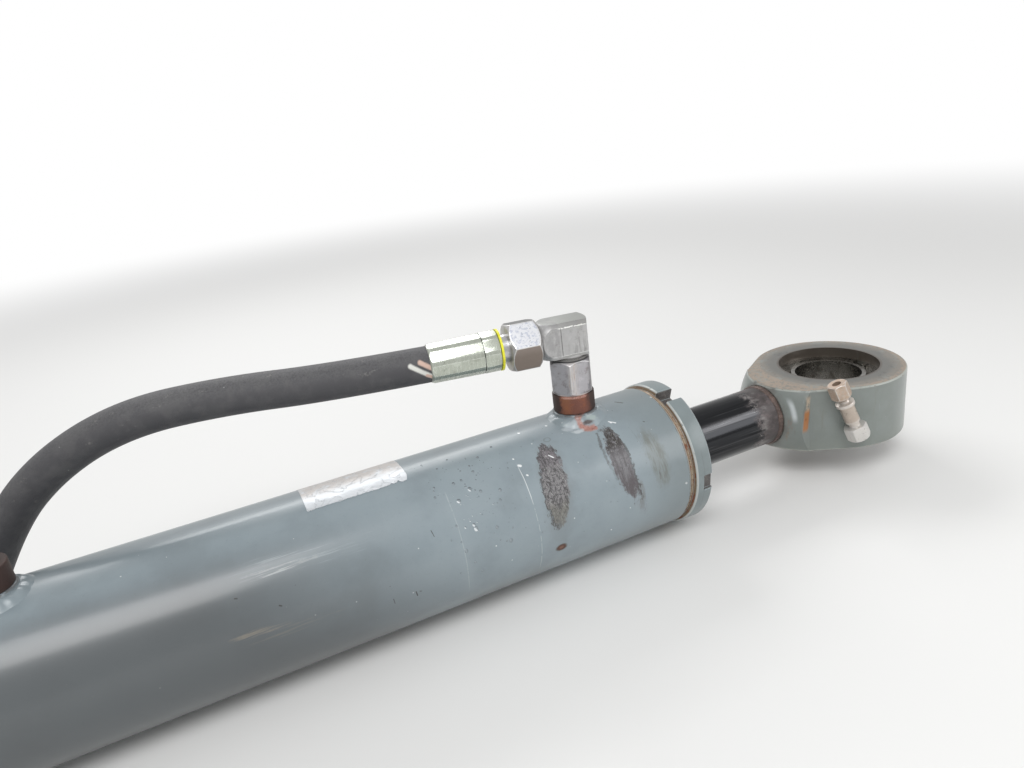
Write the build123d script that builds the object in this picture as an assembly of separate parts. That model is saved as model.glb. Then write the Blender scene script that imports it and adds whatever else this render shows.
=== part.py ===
"""Double-acting steering cylinder of a wheel loader, with its rod-end port fittings and pressure hose.

Millimetres. The origin is the centre of the base-end spherical bearing. +X runs along the cylinder
towards the rod eye, and +Z runs along both pins. The rod stands out as far as in the parked machine.
"""

import os
from math import cos, hypot, radians, sin, sqrt, tan

from build123d import *

# Working sizes of the cylinder
BORE_R = 40.0
BARREL_WALL = 10.0
BARREL_RIM_CHAMFER = 1.5
ROD_R = 22.5
STROKE = 330.0
REST_EXTENSION = 75.0
CLOSED_NECK_GAP = 16.0
RUNNING_GAP = 0.05
SEAT_GAP = 0.1
END_PLAY = 1.0
OVERLAP = 1.0  # how far a part of a piece reaches into the rest of it
CUT_OVER = 1.0  # how far a cut stands past what it cuts

# Eyes and their spherical plain bearings
PIN_R = 25.0
INNER_RING_WIDTH = 35.0
INNER_RING_RIM = 3.0
OUTER_RING_WALL = 4.5
OUTER_RING_WIDTH = 28.0
EYE_WALL = 19.0
EYE_THICK = 50.0
EYE_EDGE = 1.6

# Retaining rings of the bearings
CLIP_THICK = 2.5
CLIP_WIDTH = 3.5
CLIP_GROOVE_DEPTH = 1.5
CLIP_GAP = 0.1
CLIP_LUG_R = 3.2
CLIP_LUG_HOLE_R = 1.25
CLIP_LUG_ANGLE = 14.0
CLIP_MOUTH = 9.0

# Base end: cheeks of the eye, cap with its spigot in the barrel, weld and grease nipple
BASE_NECK_LENGTH = 58.0
BASE_NECK_HALF = 36.0
BASE_NECK_TAPER = 14.0
CAP_FRONT_LENGTH = 9.0
CAP_FRONT_R = 38.0
CAP_RIM_LENGTH = 15.0
SPIGOT_LENGTH = 10.0
WELD_HALF = 5.0
WELD_RISE = 1.8
NIPPLE_R = 4.0
NIPPLE_DEPTH = 10.0
NIPPLE_FLATS = 9.0
NIPPLE_COLLAR = 5.0
NIPPLE_HEAD = ((0.0, 2.6), (2.0, 2.2), (3.0, 3.2), (5.0, 3.3), (6.5, 2.2), (7.0, 0.0))

# Rod end
NECK_LENGTH = 70.0
NECK_STEP = 1.5
FLARE_LENGTH = 16.0
FLARE_RISE = 17.0
FLARE_MIDDLE = (0.42, 0.48)  # share of the length, share of the rise
CHEEK_HALF = 33.0
ROD_WELD_LENGTH = 4.0
ROD_WELD_RISE = 1.2
PISTON_LENGTH = 45.0
PISTON_GAP = 0.3
PISTON_SPIGOT_R = 15.0
PISTON_SPIGOT_CHAMFER = 1.0
PISTON_GROOVES = ((6.0, 8.0, 1.5), (18.5, 8.0, 4.0), (31.0, 8.0, 1.5))  # start, width, depth

# Gland: flange, rusty gap behind it, guide inside the barrel, notches and wiper
GLAND_LENGTH = 61.0
FLANGE_RISE = 1.6
FLANGE_LENGTH = 13.7
FLANGE_CHAMFER = 1.5
FLANGE_GAP = 3.0
FLANGE_GAP_DEPTH = 1.8
GLAND_NOTCHES = (  # angle from +Z towards -Y, width, depth, length along X
    (17.8, 11.8, 9.5, FLANGE_LENGTH),
    (95.5, 11.5, 3.0, 8.0),
    (197.8, 11.8, 9.5, FLANGE_LENGTH),
    (275.5, 11.5, 3.0, 8.0),
)
WIPER_WALL = 5.5
WIPER_SEAT_DEPTH = 7.0
WIPER_LIP = 1.6
WIPER_LIP_WALL = 3.0

# Ports: axes measured back from the gland's end face and on from the cap's inner face
ROD_PORT_SETBACK = 73.1
BASE_PORT_SETBACK = 22.0
PORT_R = 6.0
BOSS_RISE = 3.5
BOSS_R = 15.0
BOSS_FOOT_R = 22.5
BOSS_WELD = 1.8
BOSS_WELD_ROUND = 1.44
ADAPTER_R = 14.0
ADAPTER_COLLAR = 12.8
ADAPTER_EDGE = 0.6
STUD_R = 10.0
STUD_REACH = 17.2
STUD_POINT = 1.0
CONE_R = 7.8
CONE_DEPTH = 4.0

# Hexagon nuts, each turned on its axis as it happened to be tightened
PORT_NUT_FLATS = 26.0
PORT_NUT_LENGTH = 23.2
PORT_NUT_TURN = 0.0
HOSE_NUT_FLATS = 30.0
HOSE_NUT_LENGTH = 19.5
HOSE_NUT_TURN = -20.0
NUT_CHAMFER_ANGLE = 42.0
NUT_SHOULDER = 5.0

# Forged elbow: an eight-sided body turned down towards its outlet, on a round neck
ELBOW_YAW = 9.8
ELBOW_HALF = 12.0
ELBOW_NECK = 2.6
ELBOW_NECK_R = 10.8
ELBOW_FOOT = 1.3
ELBOW_FOOT_R = 11.9
ELBOW_FOOT_GAP = 0.4
ELBOW_STEM_R = 7.6
ELBOW_STEP = 8.0
ELBOW_STEP_DEPTH = 0.5
ELBOW_SHOULDER = 12.5
ELBOW_SHOULDER_SWELL = 0.72
ELBOW_OUTLET = 21.0
ELBOW_OUTLET_R = 10.5
ELBOW_EDGE = 2.8
ELBOW_HEEL = 12.2
ELBOW_HEEL_R = 28.0
ELBOW_SPIGOT = 12.0
OUTLET_STUD_R = 10.0

# Hose assembly, distances along its own axis from the port axis
HOSE_NUT_START = 21.6
STEM_COLLAR = 4.9
STEM_COLLAR_R = 9.3
STEM_R = 7.6
RING_LENGTH = 1.4
RING_RISE = 0.3
FERRULE_LENGTH = 45.0
FERRULE_CRIMP = 0.9
FERRULE_NUT_END = (10.8, 12.7, 13.2)  # length, across-flats radius, corner radius
FERRULE_HOSE_END = (12.05, 12.55)  # across-flats radius, corner radius
FERRULE_SEAM = 0.8
FERRULE_TURN = 12.0
HOSE_R = 11.5
LEAST_BEND = 10 * HOSE_R

# Lubrication fitting on the rod eye, its sleeve stack given as radius and length
LUBE_ANGLE = 120.0
LUBE_Z = -5.3
LUBE_LEAN = 22.0
LUBE_TURN = 30.0
LUBE_HEX_FLATS = 14.5
LUBE_HEX_HEIGHT = 10.6
LUBE_STUB_R = 5.0
LUBE_STUB_LENGTH = 3.0
LUBE_STUB_DEPTH = 10.0
LUBE_STACK = ((4.0, 4.0), (5.3, 14.0), (6.6, 2.5), (3.5, 4.5))
LUBE_NUT_FLATS = 13.0
LUBE_NUT_LENGTH = 11.5
LUBE_NUT_BORE_R = 3.2

# Sizes and places that follow from the ones above
BARREL_R = BORE_R + BARREL_WALL
SPHERE_R = hypot(PIN_R + INNER_RING_RIM, INNER_RING_WIDTH / 2)
OUTER_RING_R = SPHERE_R + OUTER_RING_WALL
EYE_R = OUTER_RING_R + EYE_WALL
NECK_START_R = ROD_R + NECK_STEP
FLANGE_R = BARREL_R + FLANGE_RISE
WIPER_R = ROD_R + WIPER_WALL
BASE_CAP_X = BASE_NECK_LENGTH
CAP_END_X = BASE_CAP_X + CAP_FRONT_LENGTH + CAP_RIM_LENGTH
CAP_INNER_X = CAP_END_X + SPIGOT_LENGTH
GLAND_X = CAP_INNER_X + 2 * END_PLAY + PISTON_LENGTH + STROKE + GLAND_LENGTH
BARREL_END_X = GLAND_X - FLANGE_LENGTH - FLANGE_GAP
PISTON_X = CAP_INNER_X + END_PLAY + REST_EXTENSION
NECK_X = GLAND_X + CLOSED_NECK_GAP + REST_EXTENSION
ROD_EYE_X = NECK_X + NECK_LENGTH
ROD_PORT_X = GLAND_X - ROD_PORT_SETBACK
BASE_PORT_X = CAP_INNER_X + BASE_PORT_SETBACK
BOSS_TOP = BARREL_R + BOSS_RISE
COLLAR_TOP = BOSS_TOP + ADAPTER_COLLAR
PORT_NUT_TOP = COLLAR_TOP + PORT_NUT_LENGTH
ELBOW_BOTTOM = PORT_NUT_TOP + ELBOW_NECK
ELBOW_Z = ELBOW_BOTTOM + ELBOW_HALF
STEM_COLLAR_START = HOSE_NUT_START + HOSE_NUT_LENGTH
RING_START = STEM_COLLAR_START + STEM_COLLAR
FERRULE_START = RING_START + RING_LENGTH
FERRULE_END = FERRULE_START + FERRULE_LENGTH
HOSE_DIRECTION = Vector(-cos(radians(ELBOW_YAW)), sin(radians(ELBOW_YAW)), 0)
HOSE_START = Vector(ROD_PORT_X, 0, ELBOW_Z) + HOSE_DIRECTION * FERRULE_END

# The hose's route by hand: out of the ferrule, away behind the barrel and down to the floor
HOSE_ROUTE = (
    (305.0, 25.5, 105.5),
    (247.0, 36.5, 110.0),
    (192.0, 48.0, 108.0),
    (147.0, 60.0, 88.0),
    (113.0, 70.0, 56.5),
)
HOSE_END = (88.8, 78.1, 16.2)


def revolved(points, upright=False):
    """Solid turned about X, or about Z when upright, from (along, radius) points."""
    if upright:
        outline = [(radius, 0, along) for along, radius in points]
        return revolve(make_face(Polyline(*outline, close=True)), Axis.Z)
    outline = [(along, radius, 0) for along, radius in points]
    return revolve(make_face(Polyline(*outline, close=True)), Axis.X)


def ring(start, length, outer, inner, upright=False):
    """Plain ring or bush between two radii."""
    outline = ((start, inner), (start, outer), (start + length, outer), (start + length, inner))
    return revolved(outline, upright)


def bar(start, length, radius, upright=False):
    """Plain round bar."""
    return revolved(((start, 0), (start, radius), (start + length, radius), (start + length, 0)), upright)


def drilled(x, radius, top):
    """Upright round hole through everything from the cylinder's axis to top."""
    return Pos(x, 0, 0) * extrude(Circle(radius), top)


def hexagon_nut(flats, length, bore, start=0.0, turn=0.0):
    """Hexagon nut along +Z from start, its corners turned off at both ends."""
    corner = flats / sqrt(3)
    drop = (corner - flats / 2) * tan(radians(NUT_CHAMFER_ANGLE))
    prism = extrude(RegularPolygon(corner, 6, rotation=turn), length)
    turned = revolved(
        (
            (0, 0),
            (0, flats / 2),
            (drop, corner),
            (length - drop, corner),
            (length, flats / 2),
            (length, 0),
        ),
        upright=True,
    )
    nut = prism & turned
    if bore:
        nut = nut - bar(-CUT_OVER, length + 2 * CUT_OVER, bore, upright=True)
    return Pos(0, 0, start) * nut


def along_hose(shape):
    """Turns a shape built along +Z from the port axis onto the hose's outgoing direction."""
    return Pos(ROD_PORT_X, 0, ELBOW_Z) * Rot(0, 0, -ELBOW_YAW) * Rot(0, -90, 0) * shape


def eye_body(side, root, root_half):
    """Eye around a pin along Z at the origin: a thick disc and the cheeks that run from it to the neck.

    The neck points along X to the given side. The cheeks end at root, root_half wide each way.
    """
    root_line = Line((side * root, -root_half), (side * root, root_half))
    plan = make_hull(Circle(EYE_R).edges() + root_line.edges())
    prism = extrude(plan, EYE_THICK / 2, both=True)
    rims = [
        edge
        for edge in prism.edges()
        if abs(edge.center().Z) > 0.49 * EYE_THICK and side * edge.center().X < root - EYE_EDGE
    ]
    return fillet(rims, EYE_EDGE)


def bearing_seat():
    """What is cut from an eye for its bearing: the bore and both retaining-ring grooves."""
    bore = extrude(Circle(OUTER_RING_R + SEAT_GAP / 2), EYE_THICK, both=True)
    return bore + clip_groove(1) + clip_groove(-1)


def clip_groove(side):
    """Groove for one retaining ring in the bore of an eye."""
    width = CLIP_THICK + 2 * CLIP_GAP
    low = side * (OUTER_RING_WIDTH / 2 + width / 2) - width / 2
    return ring(low, width, OUTER_RING_R + CLIP_GROOVE_DEPTH, OUTER_RING_R - CUT_OVER, upright=True)


def retaining_ring(centre_x, side):
    """Internal retaining ring: a split ring with two pierced lugs, seated in its groove."""
    outer = OUTER_RING_R + CLIP_GROOVE_DEPTH - CLIP_GAP
    inner = OUTER_RING_R - CLIP_WIDTH
    low = side * (OUTER_RING_WIDTH / 2 + CLIP_GAP + CLIP_THICK / 2) - CLIP_THICK / 2
    lug = Pos(inner + CLIP_LUG_R / 2, 0, low) * extrude(Circle(CLIP_LUG_R), CLIP_THICK)
    through = CLIP_THICK + 2 * CUT_OVER
    hole = Pos(inner + CLIP_LUG_R / 2, 0, low - CUT_OVER) * extrude(Circle(CLIP_LUG_HOLE_R), through)
    mouth = Pos(outer, 0, low - CUT_OVER) * extrude(Rectangle(4 * CLIP_WIDTH, CLIP_MOUTH), through)
    clip = ring(low, CLIP_THICK, outer, inner, upright=True)
    for angle in (-CLIP_LUG_ANGLE, CLIP_LUG_ANGLE):
        clip = clip + Rot(0, 0, angle) * lug
    clip = clip - mouth
    for angle in (-CLIP_LUG_ANGLE, CLIP_LUG_ANGLE):
        clip = clip - Rot(0, 0, angle) * hole
    return Pos(centre_x, 0, 0) * clip


def bearing_outer(centre_x):
    """Outer ring of a spherical plain bearing."""
    width = OUTER_RING_WIDTH
    sleeve = ring(-width / 2, width, OUTER_RING_R, SPHERE_R / 2, upright=True)
    return Pos(centre_x, 0, 0) * (sleeve - Sphere(SPHERE_R + RUNNING_GAP))


def bearing_inner(centre_x):
    """Inner ring of a spherical plain bearing, which the pin goes through."""
    width = INNER_RING_WIDTH
    sleeve = ring(-width / 2, width, SPHERE_R + CUT_OVER, PIN_R, upright=True)
    return Pos(centre_x, 0, 0) * (Sphere(SPHERE_R) & sleeve)


def base_eye():
    """Forged base eye, its neck's corners turned down to the round cap."""
    taper = BASE_NECK_LENGTH - BASE_NECK_TAPER
    clear = 2 * EYE_R
    turned = revolved(
        (
            (-clear, 0),
            (-clear, clear),
            (taper, clear),
            (taper, CAP_FRONT_R + BASE_NECK_TAPER / 2),
            (BASE_NECK_LENGTH, CAP_FRONT_R),
            (BASE_NECK_LENGTH, 0),
        )
    )
    drill = extrude(Circle(NIPPLE_R), NIPPLE_DEPTH + CUT_OVER)
    nipple_seat = Pos(-EYE_R - CUT_OVER, 0, 0) * Rot(0, 90, 0) * drill
    return (eye_body(1, BASE_NECK_LENGTH, BASE_NECK_HALF) & turned) - bearing_seat() - nipple_seat


def base_cap():
    """Cap that closes the barrel, its spigot inside the tube."""
    shoulder = BASE_CAP_X + CAP_FRONT_LENGTH
    return revolved(
        (
            (BASE_CAP_X, 0),
            (BASE_CAP_X, CAP_FRONT_R),
            (shoulder, BARREL_R),
            (CAP_END_X, BARREL_R),
            (CAP_END_X, BORE_R - SEAT_GAP),
            (CAP_INNER_X, BORE_R - SEAT_GAP),
            (CAP_INNER_X, 0),
        )
    )


def grease_nipple():
    """Grease nipple in the back of the base eye."""
    top = NIPPLE_DEPTH + NIPPLE_COLLAR
    stud = bar(0, NIPPLE_DEPTH, NIPPLE_R - SEAT_GAP, upright=True)
    collar = hexagon_nut(NIPPLE_FLATS, NIPPLE_COLLAR, 0, NIPPLE_DEPTH)
    head = revolved(((top, 0),) + tuple((top + along, radius) for along, radius in NIPPLE_HEAD), upright=True)
    return Pos(-EYE_R + NIPPLE_DEPTH, 0, 0) * Rot(0, -90, 0) * (stud + collar + head)


def weld_bead(middle_x, radius):
    """Round bead over the joint of the cap and the barrel."""
    arc = ThreePointArc(
        (middle_x - WELD_HALF, radius, 0),
        (middle_x, radius + WELD_RISE, 0),
        (middle_x + WELD_HALF, radius, 0),
    )
    base = Line((middle_x + WELD_HALF, radius, 0), (middle_x - WELD_HALF, radius, 0))
    return revolve(make_face([arc, base]), Axis.X)


def barrel_tube():
    """Barrel tube, drilled for both ports."""
    tube = revolved(
        (
            (CAP_END_X, BORE_R),
            (CAP_END_X, BARREL_R),
            (BARREL_END_X - BARREL_RIM_CHAMFER, BARREL_R),
            (BARREL_END_X, BARREL_R - BARREL_RIM_CHAMFER),
            (BARREL_END_X, BORE_R),
        )
    )
    top = BARREL_R + CUT_OVER
    return tube - drilled(ROD_PORT_X, PORT_R, top) - drilled(BASE_PORT_X, PORT_R, top)


def port_boss(x):
    """Weld-on port boss: a low round post on a pad of weld that follows the barrel."""
    start = x - 2 * BOSS_FOOT_R
    length = 4 * BOSS_FOOT_R
    skin = ring(start, length, BARREL_R + BOSS_WELD, BARREL_R)
    pad = skin & drilled(x, BOSS_FOOT_R, BOSS_TOP)
    outer_rim = pad.edges().sort_by(lambda edge: -edge.length)[0]
    pad = fillet(outer_rim, BOSS_WELD_ROUND)
    post = drilled(x, BOSS_R, BOSS_TOP) - bar(start, length, BARREL_R)
    return pad + post - drilled(x, PORT_R, BOSS_TOP)


def port_adapter(x):
    """Threaded adapter in a port boss: a round collar and the stud that its nut screws onto."""
    stud_top = COLLAR_TOP + STUD_REACH
    return Pos(x, 0, 0) * revolved(
        (
            (BOSS_TOP, PORT_R),
            (BOSS_TOP, ADAPTER_R - ADAPTER_EDGE),
            (BOSS_TOP + ADAPTER_EDGE, ADAPTER_R),
            (COLLAR_TOP - ADAPTER_EDGE, ADAPTER_R),
            (COLLAR_TOP, ADAPTER_R - ADAPTER_EDGE),
            (COLLAR_TOP, STUD_R),
            (stud_top - STUD_POINT, STUD_R),
            (stud_top, STUD_R - STUD_POINT),
            (stud_top, CONE_R),
            (stud_top - CONE_DEPTH, PORT_R),
        ),
        upright=True,
    )


def port_nut():
    """Swivel nut that holds the elbow on the rod-end port."""
    nut = hexagon_nut(PORT_NUT_FLATS, PORT_NUT_LENGTH, STUD_R + SEAT_GAP, COLLAR_TOP, PORT_NUT_TURN)
    inner = ELBOW_STEM_R + SEAT_GAP
    shoulder = ring(PORT_NUT_TOP - NUT_SHOULDER, NUT_SHOULDER, STUD_R + OVERLAP, inner, upright=True)
    return Pos(ROD_PORT_X, 0, 0) * (nut + shoulder)


def elbow():
    """Forged right-angle elbow: an eight-sided body with a crowned heel, turned round towards its outlet."""
    side = 2 * ELBOW_HALF
    reach = ELBOW_HEEL + ELBOW_OUTLET
    section = chamfer(Rectangle(side, side).vertices(), ELBOW_EDGE)
    body = Pos(0, 0, -ELBOW_HEEL) * extrude(section, reach)
    crown = Pos(0, 0, ELBOW_HEEL_R - ELBOW_HEEL) * Rot(0, 90, 0) * Cylinder(ELBOW_HEEL_R, 2 * side)
    body = body & crown
    corner = sqrt(ELBOW_HALF**2 + (ELBOW_HALF - ELBOW_EDGE) ** 2)
    middle_r = ELBOW_OUTLET_R + ELBOW_SHOULDER_SWELL * (corner - ELBOW_OUTLET_R)
    outline = [
        Polyline((0, 0, ELBOW_OUTLET), (0, 0, -side), (side, 0, -side), (side, 0, ELBOW_SHOULDER)),
        Line((side, 0, ELBOW_SHOULDER), (corner, 0, ELBOW_SHOULDER)),
        ThreePointArc(
            (corner, 0, ELBOW_SHOULDER),
            (middle_r, 0, (ELBOW_SHOULDER + ELBOW_OUTLET) / 2),
            (ELBOW_OUTLET_R, 0, ELBOW_OUTLET),
        ),
        Line((ELBOW_OUTLET_R, 0, ELBOW_OUTLET), (0, 0, ELBOW_OUTLET)),
    ]
    body = body & revolve(make_face(outline), Axis.Z)
    for sign in (-1, 1):
        middle = sign * (ELBOW_HALF - ELBOW_STEP_DEPTH + side / 2)
        body = body - Pos(0, middle, ELBOW_STEP) * extrude(Rectangle(2 * side, side), reach)
    body = body + bar(ELBOW_OUTLET - OVERLAP, ELBOW_SPIGOT + OVERLAP, OUTLET_STUD_R, upright=True)
    body = body - bar(0, ELBOW_OUTLET + ELBOW_SPIGOT + CUT_OVER, PORT_R, upright=True)
    foot = PORT_NUT_TOP + ELBOW_FOOT_GAP
    neck = revolved(
        (
            (PORT_NUT_TOP - NUT_SHOULDER, PORT_R),
            (PORT_NUT_TOP - NUT_SHOULDER, ELBOW_STEM_R),
            (foot, ELBOW_STEM_R),
            (foot, ELBOW_FOOT_R),
            (foot + ELBOW_FOOT, ELBOW_FOOT_R),
            (foot + ELBOW_FOOT, ELBOW_NECK_R),
            (ELBOW_BOTTOM + ELBOW_EDGE, ELBOW_NECK_R),
            (ELBOW_BOTTOM + ELBOW_EDGE, PORT_R),
        ),
        upright=True,
    )
    upright = Pos(ROD_PORT_X, 0, 0) * (neck - drilled(0, PORT_R, ELBOW_Z))
    passage = Pos(ROD_PORT_X, 0, 0) * drilled(0, PORT_R, ELBOW_Z)
    return along_hose(body) + upright - passage


def hose_nut():
    """Swivel nut of a hose end."""
    shoulder_start = HOSE_NUT_START + HOSE_NUT_LENGTH - NUT_SHOULDER
    bore = OUTLET_STUD_R + SEAT_GAP
    nut = hexagon_nut(HOSE_NUT_FLATS, HOSE_NUT_LENGTH, bore, HOSE_NUT_START, HOSE_NUT_TURN)
    outer = OUTLET_STUD_R + OVERLAP
    return nut + ring(shoulder_start, NUT_SHOULDER, outer, STEM_R + SEAT_GAP, upright=True)


def hose_stem():
    """Stem of a hose end: the seat that its nut presses on, the collar that shows, and the tail in the hose."""
    shoulder_start = HOSE_NUT_START + HOSE_NUT_LENGTH - NUT_SHOULDER
    tail_end = FERRULE_START + FERRULE_NUT_END[0]
    return revolved(
        (
            (shoulder_start, PORT_R),
            (shoulder_start, STEM_R),
            (STEM_COLLAR_START + SEAT_GAP, STEM_R),
            (STEM_COLLAR_START + SEAT_GAP, STEM_COLLAR_R),
            (RING_START, STEM_COLLAR_R),
            (RING_START, STEM_R),
            (tail_end, STEM_R),
            (tail_end, PORT_R),
        ),
        upright=True,
    )


def colour_ring():
    """Thin marking ring against the ferrule's nut end."""
    outer = FERRULE_NUT_END[2] + RING_RISE
    return ring(RING_START, RING_LENGTH, outer, STEM_R + SEAT_GAP, upright=True)


def ferrule():
    """Crimped ferrule, pressed to eight flats in two lengths with a seam between them."""
    seam_at, flat_r, corner_r = FERRULE_NUT_END
    end_flat_r, end_corner_r = FERRULE_HOSE_END
    seam = FERRULE_START + seam_at
    bore = HOSE_R - FERRULE_CRIMP
    body = revolved(
        (
            (FERRULE_START, STEM_R + SEAT_GAP),
            (FERRULE_START, corner_r - FERRULE_SEAM),
            (FERRULE_START + FERRULE_SEAM, corner_r),
            (seam - FERRULE_SEAM / 2, corner_r),
            (seam, end_flat_r),
            (seam + FERRULE_SEAM / 2, corner_r - FERRULE_SEAM / 4),
            (FERRULE_END - 2 * FERRULE_SEAM, end_corner_r),
            (FERRULE_END, end_corner_r - FERRULE_SEAM),
            (FERRULE_END, bore),
            (seam, bore),
            (seam, STEM_R + SEAT_GAP),
        ),
        upright=True,
    )
    sections = [
        Pos(0, 0, along) * RegularPolygon(radius, 8, major_radius=False, rotation=FERRULE_TURN)
        for along, radius in ((FERRULE_START, flat_r), (FERRULE_END, end_flat_r))
    ]
    return body & loft(sections)


def on_far_end(shape):
    """Turns a hose-end piece, built at its distance from the port, onto the hose's far end."""
    last = Vector(*HOSE_ROUTE[-1])
    end = Vector(*HOSE_END)
    outward = Plane(origin=end, z_dir=end - last).location
    return outward * Pos(0, 0, FERRULE_END) * Rot(180, 0, 0) * shape


def hose_tube():
    """Hose as straight runs joined by tangent arcs, each arc as large as its two runs allow."""
    points = [HOSE_START] + [Vector(*point) for point in HOSE_ROUTE] + [Vector(*HOSE_END)]
    radii = []
    for before, corner, after in zip(points, points[1:], points[2:]):
        run_in = corner - before
        run_out = after - corner
        turn = run_in.get_angle(run_out)
        shorter = min(run_in.length, run_out.length)
        radii.append(0.45 * shorter / tan(radians(turn) / 2))
    print("hose radii", [round(radius) for radius in radii], "least allowed", LEAST_BEND)
    path = FilletPolyline(*points, radius=radii)
    tube = sweep(Plane(origin=points[0], z_dir=points[1] - points[0]) * Circle(HOSE_R), path)
    expected = path.length * Circle(HOSE_R).area
    print("hose length", round(path.length, 1), "volume share", round(tube.volume / expected, 4))
    return tube


def gland():
    """Gland screwed into the barrel: notched flange, rusty gap, guide and wiper seat."""
    bore = ROD_R + RUNNING_GAP
    flange_x = BARREL_END_X + FLANGE_GAP
    body = revolved(
        (
            (GLAND_X - GLAND_LENGTH, bore),
            (GLAND_X - GLAND_LENGTH, BORE_R - SEAT_GAP),
            (BARREL_END_X, BORE_R - SEAT_GAP),
            (BARREL_END_X, BARREL_R - FLANGE_GAP_DEPTH),
            (flange_x, BARREL_R - FLANGE_GAP_DEPTH),
            (flange_x, FLANGE_R - FLANGE_CHAMFER / 2),
            (flange_x + FLANGE_CHAMFER / 2, FLANGE_R),
            (GLAND_X - FLANGE_CHAMFER, FLANGE_R),
            (GLAND_X, FLANGE_R - FLANGE_CHAMFER),
            (GLAND_X, WIPER_R),
            (GLAND_X - WIPER_SEAT_DEPTH, WIPER_R),
            (GLAND_X - WIPER_SEAT_DEPTH, bore),
        )
    )
    for angle, width, depth, length in GLAND_NOTCHES:
        middle = GLAND_X - (length - CUT_OVER) / 2
        tool = Pos(middle, 0, FLANGE_R) * Box(length + CUT_OVER, width, 2 * depth)
        body = body - Rot(angle, 0, 0) * tool
    return body


def wiper_seal():
    """Wiper ring pressed in the gland, its lip around the rod."""
    inner = ROD_R + 2 * SEAT_GAP
    outer = WIPER_R - SEAT_GAP / 2
    face = GLAND_X - WIPER_LIP / 2
    return revolved(
        (
            (GLAND_X - WIPER_SEAT_DEPTH, inner),
            (GLAND_X - WIPER_SEAT_DEPTH, outer),
            (face, outer),
            (face, ROD_R + WIPER_LIP_WALL),
            (GLAND_X + WIPER_LIP, ROD_R + WIPER_LIP_WALL / 2),
            (GLAND_X + WIPER_LIP, inner),
        )
    )


def rod():
    """Chromed rod with the reduced end that carries the piston."""
    shoulder = PISTON_X + PISTON_LENGTH
    return revolved(
        (
            (PISTON_X, 0),
            (PISTON_X, PISTON_SPIGOT_R - PISTON_SPIGOT_CHAMFER),
            (PISTON_X + PISTON_SPIGOT_CHAMFER, PISTON_SPIGOT_R),
            (shoulder, PISTON_SPIGOT_R),
            (shoulder, ROD_R),
            (NECK_X, ROD_R),
            (NECK_X, 0),
        )
    )


def piston():
    """Piston with its seal and guide-ring grooves."""
    body = ring(PISTON_X, PISTON_LENGTH, BORE_R - PISTON_GAP, PISTON_SPIGOT_R + SEAT_GAP / 2)
    for start, width, depth in PISTON_GROOVES:
        body = body - ring(PISTON_X + start, width, BORE_R, BORE_R - PISTON_GAP - depth)
    return body


def rod_weld():
    """Bead where the rod eye is welded to the rod."""
    start = (NECK_X - ROD_WELD_LENGTH, ROD_R, 0)
    crest = (NECK_X - ROD_WELD_LENGTH / 3, ROD_R + ROD_WELD_RISE, 0)
    end = (NECK_X, ROD_R + NECK_STEP / 2, 0)
    foot = (NECK_X, ROD_R, 0)
    return revolve(make_face([ThreePointArc(start, crest, end), Line(end, foot), Line(foot, start)]), Axis.X)


def rod_eye():
    """Forged rod eye: a round neck that flares out to the full height of its cheeks, and the disc."""
    root = NECK_LENGTH - FLARE_LENGTH
    flare_r = NECK_START_R + FLARE_RISE
    clear = 2 * EYE_R
    along, up = FLARE_MIDDLE
    middle = (-NECK_LENGTH + along * FLARE_LENGTH, NECK_START_R + up * FLARE_RISE, 0)
    outline = [
        Line((-NECK_LENGTH, 0, 0), (-NECK_LENGTH, NECK_START_R, 0)),
        ThreePointArc((-NECK_LENGTH, NECK_START_R, 0), middle, (-root, flare_r, 0)),
        Polyline((-root, flare_r, 0), (-root, clear, 0), (clear, clear, 0), (clear, 0, 0)),
        Line((clear, 0, 0), (-NECK_LENGTH, 0, 0)),
    ]
    turned = revolve(make_face(outline), Axis.X)
    neck = Pos(-root - FLARE_LENGTH / 2, 0, 0) * Box(FLARE_LENGTH, 2 * CHEEK_HALF, EYE_THICK)
    body = ((eye_body(-1, root, CHEEK_HALF) + neck) & turned) - bearing_seat()
    drill = bar(-LUBE_STUB_DEPTH - CUT_OVER, LUBE_STUB_DEPTH + 2 * CUT_OVER, LUBE_STUB_R, upright=True)
    stub_seat = along_stub(drill)
    return Pos(ROD_EYE_X, 0, 0) * body - stub_seat


def on_eye_side(stand_off):
    """Place on the rod eye's side where the lubrication fitting sits, its X pointing outwards."""
    return Pos(ROD_EYE_X, 0, LUBE_Z) * Rot(0, 0, -LUBE_ANGLE) * Pos(stand_off, 0, 0)


def along_stub(shape):
    """Turns a shape built along +Z onto the stub in the eye's side."""
    return on_eye_side(EYE_R) * Rot(0, 90, 0) * shape


def along_sleeve(shape):
    """Turns a shape built along +Z onto the leaning sleeve of the lubrication elbow."""
    return on_eye_side(EYE_R + LUBE_STUB_LENGTH + LUBE_HEX_FLATS / 2) * Rot(LUBE_LEAN, 0, 0) * shape


def lube_elbow():
    """Lubrication elbow screwed into the eye: stub, hexagon body and the sleeve that stands up from it."""
    reach = LUBE_STUB_DEPTH + LUBE_STUB_LENGTH + LUBE_HEX_FLATS / 4
    stub = along_stub(bar(-LUBE_STUB_DEPTH, reach, LUBE_STUB_R - SEAT_GAP, upright=True))
    level = LUBE_HEX_HEIGHT / 2
    body = hexagon_nut(LUBE_HEX_FLATS, LUBE_HEX_HEIGHT, 0, -level, LUBE_TURN)
    for radius, length in LUBE_STACK:
        body = body + bar(level, length, radius, upright=True)
        level += length
    return stub + along_sleeve(body)


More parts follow.
